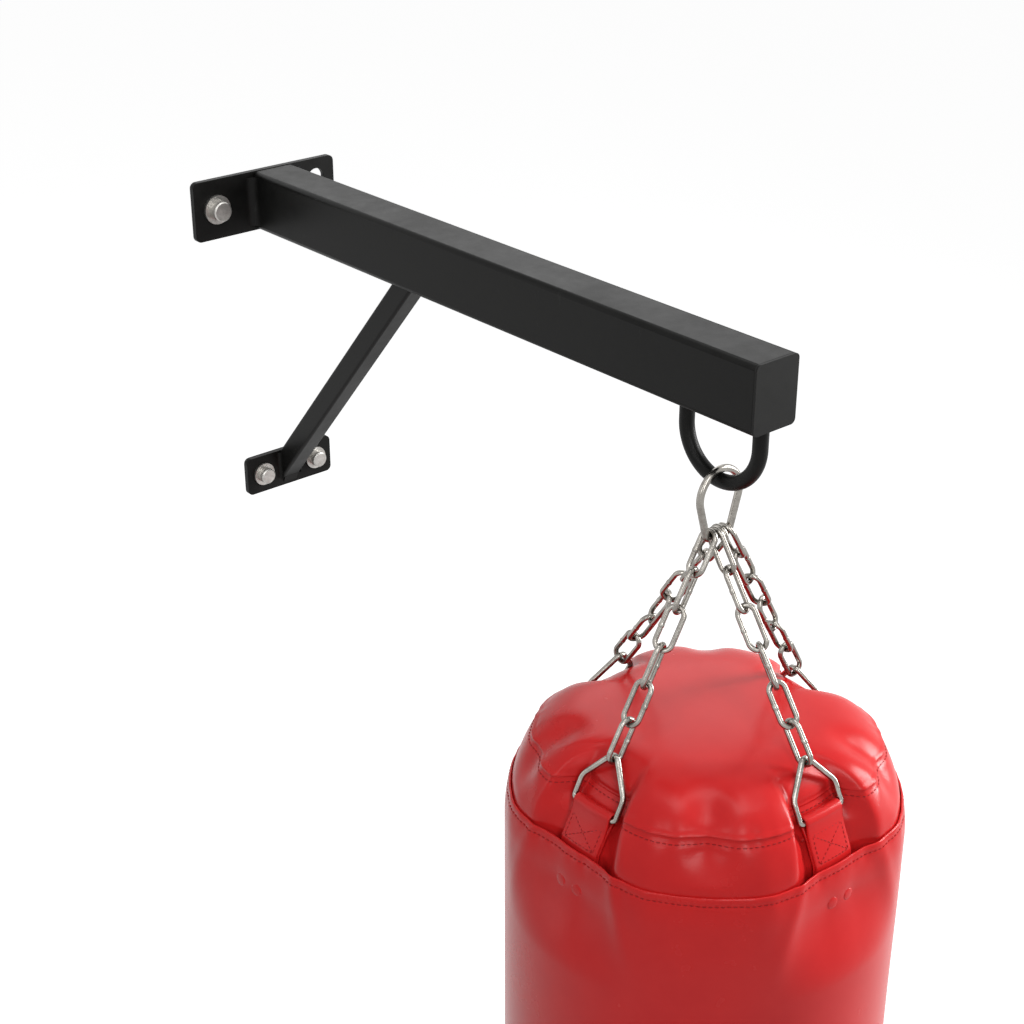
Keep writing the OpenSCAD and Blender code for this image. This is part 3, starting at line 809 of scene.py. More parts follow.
@dataclass(frozen=True)
class Tuck:
    """A flute between two straps that crosses the shoulder seam, where the filling has settled.

    Turns and widths are in degrees. The flute keeps its depth for the even length on both sides of
    the seam, fades out over the lengths above and below it, and gets wider on the way. At the taut
    seam it has only a share of its depth. A low crest stands on each side of it.
    """

    turn: float
    deep: float
    width: float = 5.0
    bulge: float = 0.8 * MM
    above: float = 46 * MM
    below: float = 33 * MM
    at_seam: float = 0.65
    even_len: float = 7 * MM
    taut_len: float = 12 * MM
    widening: float = 6.0
    crest_gap: float = 1.8
    crest_width: float = 5.6
    reach: float = 30.0

    def depth(self, phi: float, along: float) -> float:
        """Works out how far the skin is drawn in.

        Args:
            phi: turn about the bag's axis in degrees.
            along: distance up from the shoulder seam along the skin, or down where negative.

        Returns:
            The depth, negative where the skin bulges beside the flute.
        """
        gap = turn_gap(phi, self.turn)
        if abs(gap) > self.reach:
            return 0.0
        far = abs(along)
        fade = 1.0 - smooth_step(self.even_len, self.above if along > 0 else self.below, far)
        taut = self.at_seam + (1.0 - self.at_seam) * smooth_step(0.0, self.taut_len, far)
        groove = hump(gap, 0.0, self.width * (1.0 + self.widening * far))
        crest = sum(hump(gap, side * self.crest_gap * self.width, self.crest_width) for side in (-1, 1))
        return (self.deep * groove - self.bulge * crest) * fade * taut


@dataclass
class BagForm:
    """The bag's outer surface as radii about its axis; turns are in degrees and sizes in metres.

    The rim is drawn in by its tuck. Each strap presses a dent into the side, as long as the dent's
    length. Between the straps the shoulder band leans in to the seam's radius. A floor, which slopes
    in from its own radius, keeps the skin behind the D-rings. The rest is fine relief: valleys behind
    the straps, folds that run out from them, gathers along the seams and slow unevenness. Where two
    numbers stand for an edge, the form fades out between them; edges, turns and widths of folds are
    counted from the nearest strap's middle, and the spreads say how they grow with the drop.
    """

    axis_y: float
    crown_z: float
    seam_z: float
    rim_z: float
    base_z: float
    radius: float
    rim_tuck: float = 3.5 * MM
    tuck_len: float = 25 * MM
    strap_dent: float = 13 * MM
    dent_len: float = 90 * MM
    seam_r: float = 127.0 * MM
    valley: float = 3.5 * MM
    floor_rim_r: float = 120.7 * MM
    floor_slope: float = 0.53
    floor_slope_side: float = 0.62
    floor_slope_in: float = 0.13
    layer: float = 2.0 * MM
    cinch: float = 0.8 * MM
    pucker: float = 0.35 * MM
    pucker_width: float = 6 * MM
    ridge: float = 1.6 * MM
    slack_turn: float = -45.0
    slack_width: float = 26.0
    slack_deep: float = 3.0 * MM
    slack_len: float = 60 * MM
    dent_edge: tuple[float, float] = (5.0, 30.0)
    gather_edge: tuple[float, float] = (14.0, 22.0)
    valley_edge: tuple[float, float] = (6.0, 24.0)
    valley_up: float = 20 * MM
    valley_width: float = 17 * MM
    ridge_turn: float = 18.5
    ridge_width: float = 3.6
    fold_turn: float = 16.5
    fold_width: float = 2.4
    fold_turn_spread: float = 120.0
    fold_width_spread: float = 26.0
    fold_end: tuple[float, float] = (25 * MM, 95 * MM)
    eased: float = 0.35
    band_swell: float = 0.5 * MM
    side_uneven: float = 0.7 * MM
    side_even_rim: tuple[float, float] = (20 * MM, 120 * MM)
    crown_uneven: float = 0.9 * MM
    base_uneven: float = 0.8 * MM
    lie_len: float = 24 * MM
    tucks: tuple[Tuck, ...] = ()
    cap_turn: float = 4.0
    cap_drop: float = 28 * MM

    @property
    def rim_r(self) -> float:
        """Radius at the rim of the side panel, between straps."""
        return self.radius - self.rim_tuck

    @property
    def seam_rise(self) -> float:
        """Height of the shoulder seam above the rim."""
        return self.seam_z - self.rim_z

    def place(self, phi: float, r: float, z: float) -> Vector:
        """Returns the point at a turn about the axis, a radius and a height."""
        a = math.radians(phi)
        return Vector((r * math.sin(a), self.axis_y - r * math.cos(a), z))

    def turn_of(self, point: Vector) -> float:
        """Returns a point's turn about the axis in degrees."""
        return math.degrees(math.atan2(point.x, self.axis_y - point.y))

    def facing_out(self, way: Vector, here: Vector) -> Vector:
        """Returns a direction at a place, turned about where it points to the axis."""
        return -way if way.dot(here - Vector((0.0, self.axis_y, here.z))) < 0 else way

    @staticmethod
    def off_strap(phi: float) -> float:
        """Degrees from the nearest strap's middle, 0 to 45."""
        return abs((phi + 45.0) % 90.0 - 45.0)

    @staticmethod
    def on_flank(phi: float) -> bool:
        """Whether a turn lies in the left or right quarter, whose D-rings hang lower."""
        return abs(math.sin(math.radians(phi))) > 0.7

    def dent(self, phi: float) -> float:
        """Depth of the dent that the nearest strap presses into the skin."""
        return self.strap_dent * (1.0 - smooth_step(*self.dent_edge, self.off_strap(phi)))

    def full_radius(self, drop: float) -> float:
        """Radius of the side at a drop below the rim, with no straps."""
        return self.radius - self.rim_tuck * (1.0 - min(1.0, drop / self.tuck_len)) ** 2

    def gather(self, phi: float, along: float) -> float:
        """Height of the seam's gathers between straps, at a distance up or down from the seam."""
        between = smooth_step(*self.gather_edge, self.off_strap(phi))
        return self.pucker * self.ripple(phi, 1.7) * hump(along, 0.0, self.pucker_width) * between

    def ripple(self, phi: float, seed: float) -> float:
        """Fine uneven gathers around the bag, from about -1 to 1."""
        a = math.radians(phi)
        waves = ((23, 1.3), (37, 4.1), (53, 0.7), (71, 2.9))
        return sum(math.sin(n * a + p + seed) for n, p in waves) / 2.6

    def drift(self, point: Vector, size: float, seed: float) -> float:
        """Slow unevenness of a filled skin, from about -1 to 1."""
        return noise.noise(point / size + Vector((seed, seed * 0.7, -seed)))

    def drawn_in(self, phi: float, along: float) -> float:
        """How far the skin is drawn in at a distance up or down from the shoulder seam."""
        return sum(tuck.depth(phi, along) for tuck in self.tucks)

    def slack(self, phi: float) -> float:
        """How much flatter the hem runs between the front and left straps than in the other quarters."""
        return self.slack_deep * hump(turn_gap(phi, self.slack_turn), 0.0, self.slack_width)

    def side_radius(self, phi: float, drop: float) -> float:
        """Outside of the side panel at a drop below the rim."""
        r = self.full_radius(drop)
        r -= self.dent(phi) * (1.0 - smooth_step(0.3, 1.0, drop / self.dent_len))
        turn = self.fold_turn + self.fold_turn_spread * drop
        fold = hump(self.off_strap(phi), turn, self.fold_width + self.fold_width_spread * drop)
        r += self.ridge * fold * (1.0 - smooth_step(*self.fold_end, drop))
        r -= self.slack(phi) * (1.0 - smooth_step(0.0, self.slack_len, drop))
        r += self.pucker * self.ripple(phi, 0.0) * hump(drop, 5.5 * MM, self.pucker_width)
        spot = self.place(phi, r, self.rim_z - drop)
        return r + self.side_uneven * self.drift(spot, 0.16, 3.0) * smooth_step(*self.side_even_rim, drop)

    def swell_radius(self, rise: float) -> float:
        """Outside of the shoulder band, between straps and before its flutes, at a rise above the rim."""
        share = max(0.0, rise) / self.seam_rise
        start = self.rim_r - self.layer
        return start - (start - self.seam_r) * share**1.25

    def floor_radius(self, phi: float, rise: float) -> float:
        """How far out the skin may come behind a strap and its D-ring; the side D-rings hang lower."""
        slope = self.floor_slope_side if self.on_flank(phi) else self.floor_slope
        return self.floor_rim_r - (self.floor_slope_in if rise < 0 else slope) * rise

    def shoulder_radius(self, phi: float, rise: float, tucked: bool = True) -> float:
        """Outside of the shoulder band at a rise above the rim, or below it where negative."""
        off = self.off_strap(phi)
        if rise < 0:
            lean = 1.0 - smooth_step(0.0, self.slack_len, -rise)
            swell = self.full_radius(-rise) - self.dent(phi) - self.layer - self.slack(phi) * lean
        else:
            share = rise / self.seam_rise
            swell = self.swell_radius(rise)
            swell -= (self.dent(phi) + self.slack(phi)) * (1.0 - self.eased * share)
            ridge = self.ridge * hump(off, self.ridge_turn, self.ridge_width)
            swell += ridge * math.sin(math.pi * min(1.0, 0.15 + share))
            swell += self.band_swell * math.sin(math.pi * share)
            if tucked:
                swell -= self.drawn_in(phi, rise - self.seam_rise) * smooth_step(0.0, 0.3, share)
        floor_r = min(swell, self.floor_radius(phi, rise))
        high = smooth_step(14 * MM, 27 * MM, rise)
        r = swell - (swell - floor_r) * (1.0 - smooth_step(8.6 + 3.2 * high, 18.4 - 0.9 * high, off))
        if tucked and rise >= 0:
            r += self.gather(phi, rise - self.seam_rise)
        return r

    def crown_point(self, phi: float, share: float) -> Vector:
        """Outside of the top panel, a share of the way from the axis to the seam."""
        edge_r = self.shoulder_radius(phi, self.seam_rise, tucked=False)
        r = share * (self.seam_r - (self.seam_r - edge_r) * share**4)
        level = 0.25 * (1.0 - share**2.2) + 0.75 * (1.0 - share**7)
        up = self.seam_r * (1.0 - share)
        inward = self.drawn_in(phi, up)
        lie = smooth_step(0.0, self.lie_len, up)
        r -= inward * (1.0 - 0.6 * lie)
        if share > 0.9:
            r += self.gather(phi, up)
        sink = self.valley * (1.7 if self.on_flank(phi) else 1.0)
        sink *= 1.0 - smooth_step(*self.valley_edge, self.off_strap(phi))
        sink *= hump(up, self.valley_up, self.valley_width)
        z = self.seam_z + level * (self.crown_z - self.seam_z) - inward * 0.9 * lie - sink
        point = self.place(phi, r, z)
        point.z += self.crown_uneven * self.drift(point, 0.07, 11.0) * smooth_step(0.0, 0.25, 1.0 - share)
        return point


@dataclass
class Bag:
    """The filled bag's vinyl panels with their seams, stitches and rivet heads.

    Each row of points has one point for each step about the axis. The shoulder band ends below the
    rim, inside the side panel.

    The stitch drops say how far the rows of stitches lie below the seam and the hem. Each rivet
    presses a shallow round dent into the side panel, at a distance from its strap's middle.
    """

    form: BagForm
    steps: int = 420
    band_rows: int = 40
    band_below: float = 17 * MM
    hem_roll: float = 0.8 * MM
    seam_stitch_drop: float = 5.0 * MM
    hem_stitch_drop: float = 5.5 * MM
    stitch_dent: float = 0.3 * MM
    stitch_dent_width: float = 1.3 * MM
    rivet_across: float = 10 * MM
    rivet_drop: float = 28 * MM
    rivet_dent: float = 0.5 * MM
    rivet_dent_width: float = 8 * MM
    rivet_dent_reach: float = 30 * MM
    base_edge: float = 12 * MM
    base_seam_in: float = 7 * MM
    rows: list[list[Vector]] = field(default_factory=list)
    stitches: StitchRun = field(default_factory=StitchRun)

    def ring(self, maker: Callable[[float], Vector]) -> list[Vector]:
        """Returns one point for each step around the axis."""
        return [maker(360.0 * k / self.steps) for k in range(self.steps)]

    def band_point(self, phi: float, rise: float) -> Vector:
        """Returns a point on the shoulder band at a rise above the rim."""
        return self.form.place(phi, self.band_radius(phi, rise), self.form.rim_z + rise)

    def shoulder_rows(self) -> list[list[Vector]]:
        """Lays out the top panel and the shoulder band as one skin, from the axis down inside the rim."""
        crown = [self.ring(lambda phi, s=share: self.form.crown_point(phi, s)) for share in self.crown_shares]
        return crown + [self.ring(lambda phi, h=rise: self.band_point(phi, h)) for rise in self.band_rises]

    @property
    def crown_shares(self) -> list[float]:
        """Shares of the way from the axis to the seam at which the top panel has a row of points."""
        return [0.004] + [k / 44 for k in range(1, 43)] + [0.97, 0.985, 1.0]

    @property
    def seam_row(self) -> int:
        """Number of the shoulder's row that lies on its seam."""
        return len(self.crown_shares) - 1

    @property
    def band_rises(self) -> list[float]:
        """Heights above the rim at which the shoulder band has a row of points below its seam."""
        top, count = self.form.seam_rise, self.band_rows
        return [top - (top + self.band_below) * k / count for k in range(1, count + 1)]

    def hold_of(self, phi: float, share: float, along: float) -> float:
        """How firmly a point of the shoulder is held while its skin settles, from 0 to 1.

        Args:
            phi: turn about the bag's axis in degrees.
            share: the way out from the axis, 1 at the seam and beyond.
            along: distance up from the seam along the skin, or down where negative.

        Returns:
            1 at the middle of the crown, the seam, the rim, the straps and the bottoms of the flutes.
        """
        form = self.form
        hold = max(1.0 - smooth_step(0.1, 0.6, share), hump(along, 0.0, 1.5 * MM))
        if along < 0:
            hold = max(hold, smooth_step(6 * MM, 1 * MM, along + form.seam_rise))
        under = 1.0 - smooth_step(12.5, 16.0, form.off_strap(phi))
        hold = max(hold, under * (1.0 - smooth_step(20 * MM, 40 * MM, along)))
        for tuck in form.tucks:
            gap = abs(turn_gap(phi, tuck.turn))
            if gap < 9.0:
                near = 1.0 - smooth_step(16 * MM, 32 * MM, abs(along))
                hold = max(hold, 0.9 * hump(gap, 0.0, 0.7 * tuck.width) * near)
        return hold

    def settle_shoulder(self) -> None:
        """Shapes the shoulder's skin and lets it swell between its seams under the push of the filling."""
        skin = new_piece("shoulder_draft", *grid(self.shoulder_rows()))
        levels = [(share, self.form.seam_r * (1.0 - share)) for share in self.crown_shares]
        levels += [(1.0, rise - self.form.seam_rise) for rise in self.band_rises]
        turns = [360.0 * i / self.steps for i in range(self.steps)]
        hold = [self.hold_of(phi, share, along) for share, along in levels for phi in turns]
        Settling().run(skin, hold)
        places = [vert.co.copy() for vert in skin.data.vertices]
        self.rows = [places[k * self.steps:(k + 1) * self.steps] for k in range(len(levels))]
        bpy.data.objects.remove(skin)

    def top_panel(self) -> bpy.types.Object:
        """Makes the puffed top panel, whose edge is turned under over the shoulder band."""
        rows = list(self.rows[:self.seam_row])
        for out, down in ((0.3, 0.95), (0.55, 0.5), (0.62, 0.0), (0.45, -0.45), (0.05, -0.7), (-1.1, -0.4)):
            rows.append([self.off_seam(k, out * MM, down * MM) for k in range(self.steps)])
        points, faces = grid(rows)
        faces.append(list(range(self.steps)))
        return new_piece("top_panel_skin", points, faces)

    def off_seam(self, k: int, out: float, down: float) -> Vector:
        """A point beside the seam, out from it and up from it where positive."""
        here = self.rows[self.seam_row][k]
        outward = Vector((here.x, here.y - self.form.axis_y, 0.0)).normalized()
        return here + outward * out + Vector((0.0, 0.0, down))

    def shoulder_band(self) -> bpy.types.Object:
        """Makes the shoulder band between the top panel's seam and the inside of the side panel."""
        hidden = [self.off_seam(k, -0.6 * MM, 1.0 * MM) for k in range(self.steps)]
        return new_piece("shoulder_band_skin", *grid([hidden] + self.rows[self.seam_row:]))

    def band_radius(self, phi: float, rise: float) -> float:
        """Outside of the shoulder band, drawn in under the seam and along its stitches."""
        form = self.form
        below = form.seam_rise - rise
        r = form.shoulder_radius(phi, min(rise, form.seam_rise))
        r -= form.cinch * hump(below, 2.0 * MM, 2.5 * MM)
        return r - self.stitch_dent * hump(below, self.seam_stitch_drop, self.stitch_dent_width)

    def side_panel(self) -> bpy.types.Object:
        """Makes the long side panel with its folded hem, down to the turn of the base."""
        form = self.form
        roll = self.hem_roll
        end = form.rim_z - form.base_z - self.base_edge
        line = [(depth, -2.0 * roll) for depth in (16 * MM, 9 * MM, 4 * MM)]
        for k in range(7):
            a = math.pi * k / 6
            line.append((roll - roll * math.sin(a), -roll - roll * math.cos(a)))
        drops = [1.5, 2.1, 2.8, 3.5, 4.2, 4.8, 5.5, 6.2, 6.9, 7.6, 8.6, 10.0]
        drops += [10.0 + 2.2 * k for k in range(1, 46)]
        drops += [109.0 + (end / MM - 109.0) * k / 60 for k in range(1, 61)]
        line += [(drop * MM, 0.0) for drop in drops]
        rows = [self.ring(lambda phi, d=drop, o=out: self.side_point(phi, d, o)) for drop, out in line]
        return new_piece("side_panel_skin", *grid(rows))

    def side_point(self, phi: float, drop: float, out: float) -> Vector:
        """A point on the side panel, with the hem's fold standing proud above its stitches."""
        form = self.form
        r = form.side_radius(phi, drop) + out
        r -= self.stitch_dent * hump(drop, self.hem_stitch_drop, self.stitch_dent_width)
        r += 0.15 * MM * (1.0 - smooth_step(2.5 * MM, 5.0 * MM, drop))
        aside = math.degrees(self.rivet_across / (form.radius - form.strap_dent))
        for side in Side:
            for half in (-1.0, 1.0):
                gap = turn_gap(phi, side.value + half * aside)
                far = math.hypot(math.radians(gap) * form.radius, drop - self.rivet_drop)
                if far < self.rivet_dent_reach:
                    r -= self.rivet_dent * hump(far, 0.0, self.rivet_dent_width)
        return form.place(phi, r, form.rim_z - drop)

    def base(self) -> bpy.types.Object:
        """Makes the base: the turned edge and a round panel that the filling presses down."""
        form, edge = self.form, self.base_edge
        rows = [self.ring(lambda phi: self.side_point(phi, form.rim_z - form.base_z - edge, 0.0))]
        line = []
        for k in range(1, 11):
            a = math.pi / 2 * k / 10
            line.append((form.radius - edge + edge * math.cos(a), edge - edge * math.sin(a)))
        seam_r = form.radius - edge - self.base_seam_in
        line += [(seam_r + 2 * MM, 0.0), (seam_r, 1.2 * MM), (seam_r - 2 * MM, 0.2 * MM)]
        for r, up in line:
            rows.append(self.ring(lambda phi, r=r, z=form.base_z + up: form.place(phi, r, z)))
        for k in range(1, 24):
            t = 1.0 - k / 24
            sag = 3.0 * MM * (1.0 - t * t)
            rows.append(self.ring(lambda phi, r=t * line[-1][0], s=sag: self.base_point(phi, r, s)))
        points, faces = grid(rows)
        faces.append([len(points) - self.steps + i for i in range(self.steps)])
        return new_piece("base_skin", points, faces)

    def base_point(self, phi: float, r: float, sag: float) -> Vector:
        """A point on the round base, which bulges down between uneven folds."""
        point = self.form.place(phi, r, self.form.base_z - sag)
        point.z += self.form.base_uneven * self.form.drift(point, 0.05, 5.0)
        return point

    def line_on(self, maker: Callable[[float], Vector], count: int = 720) -> list[tuple[Vector, Vector]]:
        """Returns points of a closed line about the axis, with outward directions."""
        line = []
        for k in range(count):
            phi = 360.0 * k / count
            here = maker(phi)
            tangent = maker(phi + 0.5) - maker(phi - 0.5)
            out = self.form.facing_out(tangent.cross(Vector((0.0, 0.0, 1.0))), here)
            line.append((here, out.normalized()))
        return line

    def seam_stitches(self) -> bpy.types.Object:
        """Sews the row below the shoulder seam, on the skin as it has settled."""
        rise, rises = self.form.seam_rise - self.seam_stitch_drop, self.band_rises
        after = next(k for k, h in enumerate(rises) if h < rise)
        upper, lower = self.rows[self.seam_row + after], self.rows[self.seam_row + after + 1]
        part = (rises[after - 1] - rise) / (rises[after - 1] - rises[after])
        line = []
        for k in range(self.steps):
            here = upper[k].lerp(lower[k], part)
            beside = upper[(k + 1) % self.steps] - upper[k - 1]
            out = self.form.facing_out(beside.cross(upper[k] - lower[k]).normalized(), here)
            line.append((here + out * 0.1 * MM, out))
        return self.stitches.along("seam_stitches", line)

    def hem_stitches(self) -> bpy.types.Object:
        """Sews the row below the side panel's hem."""
        line = self.line_on(lambda phi: self.side_point(phi, self.hem_stitch_drop, 0.1 * MM))
        return self.stitches.along("hem_stitches", line)

    def base_stitches(self) -> bpy.types.Object:
        """Sews the row around the base."""
        form, down = self.form, Vector((0.0, 0.0, -1.0))
        r = form.radius - self.base_edge - self.base_seam_in
        line = [(form.place(0.5 * k, r, form.base_z + 1.0 * MM), down) for k in range(720)]
        return self.stitches.along("base_stitches", line)

    def cap_middles(self) -> list[Vector]:
        """Returns the middles of the eight rivet heads on the side panel."""
        form = self.form
        turns = [side.value + half * form.cap_turn for side in Side for half in (-1.0, 1.0)]
        return [self.side_point(phi, form.cap_drop, 0.0) for phi in turns]

    def rivet_caps(self) -> bpy.types.Object:
        """Makes the low round rivet heads, two over each strap, under a skin of vinyl."""
        form = self.form
        whole: Skin = ([], [])
        profile = ((5.0, -0.6), (4.8, -0.05), (4.45, 0.3), (3.9, 0.5), (2.8, 0.62), (1.3, 0.7), (0.05, 0.72))
        profile = [(r * MM, h * MM) for r, h in profile]
        drop, count = form.cap_drop, 32

        def way(phi: float, turn: float, down: float) -> Vector:
            """Returns the direction along the side panel through a head's middle."""
            ahead = self.side_point(phi + turn, drop + down, 0.0)
            return (ahead - self.side_point(phi - turn, drop - down, 0.0)).normalized()

        for here in self.cap_middles():
            phi = form.turn_of(here)
            along, down = way(phi, 1.0, 0.0), way(phi, 0.0, 4 * MM)
            out = form.facing_out(along.cross(down), here)
            points, faces = grid(turned(here, (along, down, out), profile, count))
            faces.append([len(points) - count + k for k in range(count)])
            add_skin(whole, (points, faces))
        return new_piece("rivet_caps", *whole)


def keep_clear(piece: bpy.types.Object, steel: BVHTree, axis_y: float, gap: float) -> None:
    """Presses a skin in and down where it would come too near the steel that hangs over it.

    Args:
        piece: the skin.
        steel: the surface of the steel.
        axis_y: the bag's axis.
        gap: the least distance to leave.
    """
    reach, inward, down, spare = 12 * MM, 0.6, 0.8, 1.25
    moved = 0
    for vert in piece.data.vertices:
        near, normal, _, far = steel.find_nearest(vert.co, reach)
        if near is None:
            continue
        inside = (vert.co - near).dot(normal) < 0
        if inside or far < gap:
            to_axis = Vector((-vert.co.x, axis_y - vert.co.y, 0.0)).normalized()
            push = gap + far if inside else gap - far
            vert.co += (to_axis * inward + Vector((0.0, 0.0, -down))) * push * spare
            moved += 1
    log.info("%s: %d points pressed clear of the steel", piece.name, moved)


@dataclass
class Strap:
    """One folded strap: two plies of vinyl around a D-ring's bar, sewn with a box and a cross."""

    side: Side
    form: BagForm
    bar_r: float
    bar_z: float
    width: float = 36 * MM
    ply: float = 2.15 * MM
    wrap_r: float = 3.75 * MM
    rim_r: float = 123.9 * MM
    slope_in: float = 0.13
    tuck: float = 38 * MM
    edge: float = 0.9 * MM
    bow: float = 0.9 * MM
    sewing_in: float = 3.6 * MM
    sewing_span: tuple[float, float] = (0.04, 0.68)

    def middle_line(self) -> list[Vector]:
        """Returns the middle of the ply as (radius, height).

        It runs up the inner side, around the bar and down the outer side.
        """
        rim, bar = Vector((self.rim_r, self.form.rim_z)), Vector((self.bar_r, self.bar_z))
        end = Vector((self.rim_r + self.slope_in * self.tuck, self.form.rim_z - self.tuck))
        way, low = (rim - bar).normalized(), (end - rim).normalized()
        out, low_out = Vector((-way.y, way.x)), Vector((-low.y, low.x))
        for normal in (out, low_out):
            if normal.x < 0:
                normal.negate()
        bend = (out + low_out).normalized()

        def side_of(half: float) -> list[Vector]:
            """Returns one side of the fold, from its lower end up to the bar."""
            line = [rim.lerp(end, t) + low_out * half for t in (1.0, 0.7, 0.4, 0.2, 0.08)]
            line += [rim + bend * half]
            line += [rim.lerp(bar, t) + out * half for t in (0.08, 0.2, 0.35, 0.5)]
            line += [bar + way * (9.5 * MM) + out * half * 1.25, bar + way * (7.0 * MM) + out * half * 1.7]
            return line

        half = self.ply / 2 + 0.05 * MM
        arc = []
        for k in range(17):
            a = math.radians(-128.0 + 256.0 * k / 16)
            arc.append(bar - way * (self.wrap_r * math.cos(a)) + out * (self.wrap_r * math.sin(a)))
        return side_of(-half) + arc + side_of(half)[::-1]

    def section(self) -> list[tuple[float, float]]:
        """Returns the ply's cross-section as (across, out), a flat strip with rounded edges."""
        flat, half_t = self.width / 2 - self.edge, self.ply / 2
        half = [(-flat + 2 * flat * k / 12, half_t) for k in range(13)]
        for a in (60, 30, 0, -30, -60):
            half.append((flat + self.edge * math.cos(math.radians(a)), half_t * math.sin(math.radians(a))))
        return half + [(-x, -t) for x, t in half]

    @property
    def turn(self) -> Matrix:
        """Rotation from the front to the strap's own side."""
        return Matrix.Rotation(math.radians(self.side.value), 3, "Z")

    def to_frame(self, across: float, r: float, z: float) -> Vector:
        """Carries a point of the strap into the row frame."""
        sag = self.bow * (across / (self.width / 2)) ** 2
        point = self.turn @ Vector((across, -(r - sag), 0.0))
        return Vector((point.x, self.form.axis_y + point.y, z))

    def build(self) -> bpy.types.Object:
        """Makes the strap as one ribbon swept along its line.

        Returns:
            The strap.
        """
        line = self.middle_line()
        rows = []
        for k, here in enumerate(line):
            before, after = line[max(0, k - 1)], line[min(len(line) - 1, k + 1)]
            way = (after - before).normalized()
            out = Vector((way.y, -way.x))
            rows.append([self.to_frame(x, here.x + out.x * t, here.y + out.y * t) for x, t in self.section()])
        piece = new_piece(f"{self.side.name.lower()}_strap_web", *grid(rows, close_ends=True))
        smooth = piece.modifiers.new("smooth", "SUBSURF")
        smooth.levels, smooth.render_levels = 1, 1
        return piece

    def face_point(self, across: float, t: float) -> tuple[Vector, Vector]:
        """Finds a place on the strap's outer face.

        Args:
            across: distance from the strap's middle.
            t: share of the way from the rim to the bar.

        Returns:
            The point and its outward direction.
        """
        rim, bar = Vector((self.rim_r, self.form.rim_z)), Vector((self.bar_r, self.bar_z))
        way = (bar - rim).normalized()
        out = Vector((way.y, -way.x))
        here = rim.lerp(bar, t) + out * (self.ply + 0.1 * MM)
        outward = self.turn @ Vector((0.0, -out.x, out.y))
        return self.to_frame(across, here.x, here.y), outward.normalized()

    def sewing(self, stitches: StitchRun) -> bpy.types.Object:
        """Sews a box and a cross on the strap's face between its rim and its fold.

        Args:
            stitches: the size of the stitches.

        Returns:
            All the stitches as one object.
        """
        side, (low, high) = self.width / 2 - self.sewing_in, self.sewing_span
        corners = [(-side, low), (side, low), (side, high), (-side, high)]
        whole: Skin = ([], [])
        for first, last in ((0, 1), (1, 2), (2, 3), (3, 0), (0, 2), (1, 3)):
            (x, t), (end_x, end_t) = corners[first], corners[last]
            run = [self.face_point(x + (end_x - x) * k / 12, t + (end_t - t) * k / 12) for k in range(13)]
            add_skin(whole, stitches.sew(run, closed=False))
        return new_piece(f"{self.side.name.lower()}_strap_sewing", *whole)


# ----------------------------------------------------------------------------------------------
# Steel pieces
# ----------------------------------------------------------------------------------------------


@dataclass
class Hardware:
    """Small additions to the steel that the CAD brings: the closed welds of wire pieces."""

    wire_r: float = 2.0 * MM
    bead: float = 0.28 * MM

    def islands(self, node: bpy.types.Object) -> list[list[Vector]]:
        """Returns the points of each separate solid of a CAD node."""
        mesh = bmesh.new()
        mesh.from_mesh(node.data)
        bmesh.ops.remove_doubles(mesh, verts=mesh.verts, dist=1e-6)
        seen: set[int] = set()
        groups = []
        mesh.verts.ensure_lookup_table()
        for start in mesh.verts:
            if start.index in seen:
                continue
            stack, group = [start], []
            seen.add(start.index)
            while stack:
                vert = stack.pop()
                group.append(vert.co.copy())
                for edge in vert.link_edges:
                    other = edge.other_vert(vert)
                    if other.index not in seen:
                        seen.add(other.index)
                        stack.append(other)
            groups.append(group)
        mesh.free()
        return groups

    def weld_beads(self, name: str, nodes: Iterable[bpy.types.Object]) -> bpy.types.Object:
        """Makes the slightly swollen butt weld on one leg of every link.

        Args:
            name: the piece's name.
            nodes: the CAD nodes of the chains.

        Returns:
            All the beads as one object.
        """
        whole: Skin = ([], [])
        lumps = (
            (-1.9, -0.02), (-1.5, 0.35), (-0.9, 0.85), (-0.3, 1.0),
            (0.3, 0.92), (0.9, 0.75), (1.5, 0.3), (1.9, -0.02),
        )
        profile = [(self.wire_r + self.bead * swell, along * MM) for along, swell in lumps]
        for group in (group for node in nodes for group in self.islands(node)):
            middle = sum(group, Vector()) / len(group)
            arms = [p - middle for p in group]
            length = max(arms, key=lambda arm: arm.length).normalized()
            width = max((arm - length * arm.dot(length) for arm in arms), key=lambda arm: arm.length)
            width.normalize()
            reach = max(arm.dot(width) for arm in arms) - self.wire_r
            axes = (width, length.cross(width), length)
            add_skin(whole, grid(turned(middle + width * reach, axes, profile, 24)))
        return new_piece(name, *whole)


# ----------------------------------------------------------------------------------------------
# Studio
# ----------------------------------------------------------------------------------------------


@dataclass
class Softbox:
    """A large square lamp that shines on a point."""

    name: str
    place: tuple[float, float, float]
    target: tuple[float, float, float]
    size: tuple[float, float]
    power: float

    def build(self) -> bpy.types.Object:
        """Adds the lamp to the scene and returns it."""
        data = bpy.data.lights.new(self.name, "AREA")
        data.shape, data.size, data.size_y = "RECTANGLE", *self.size
        data.energy = self.power
        lamp = bpy.data.objects.new(self.name, data)
        lamp.location = self.place
        way = Vector(self.target) - Vector(self.place)
        lamp.rotation_euler = way.to_track_quat("-Z", "Y").to_euler()
        bpy.context.collection.objects.link(lamp)
        return lamp


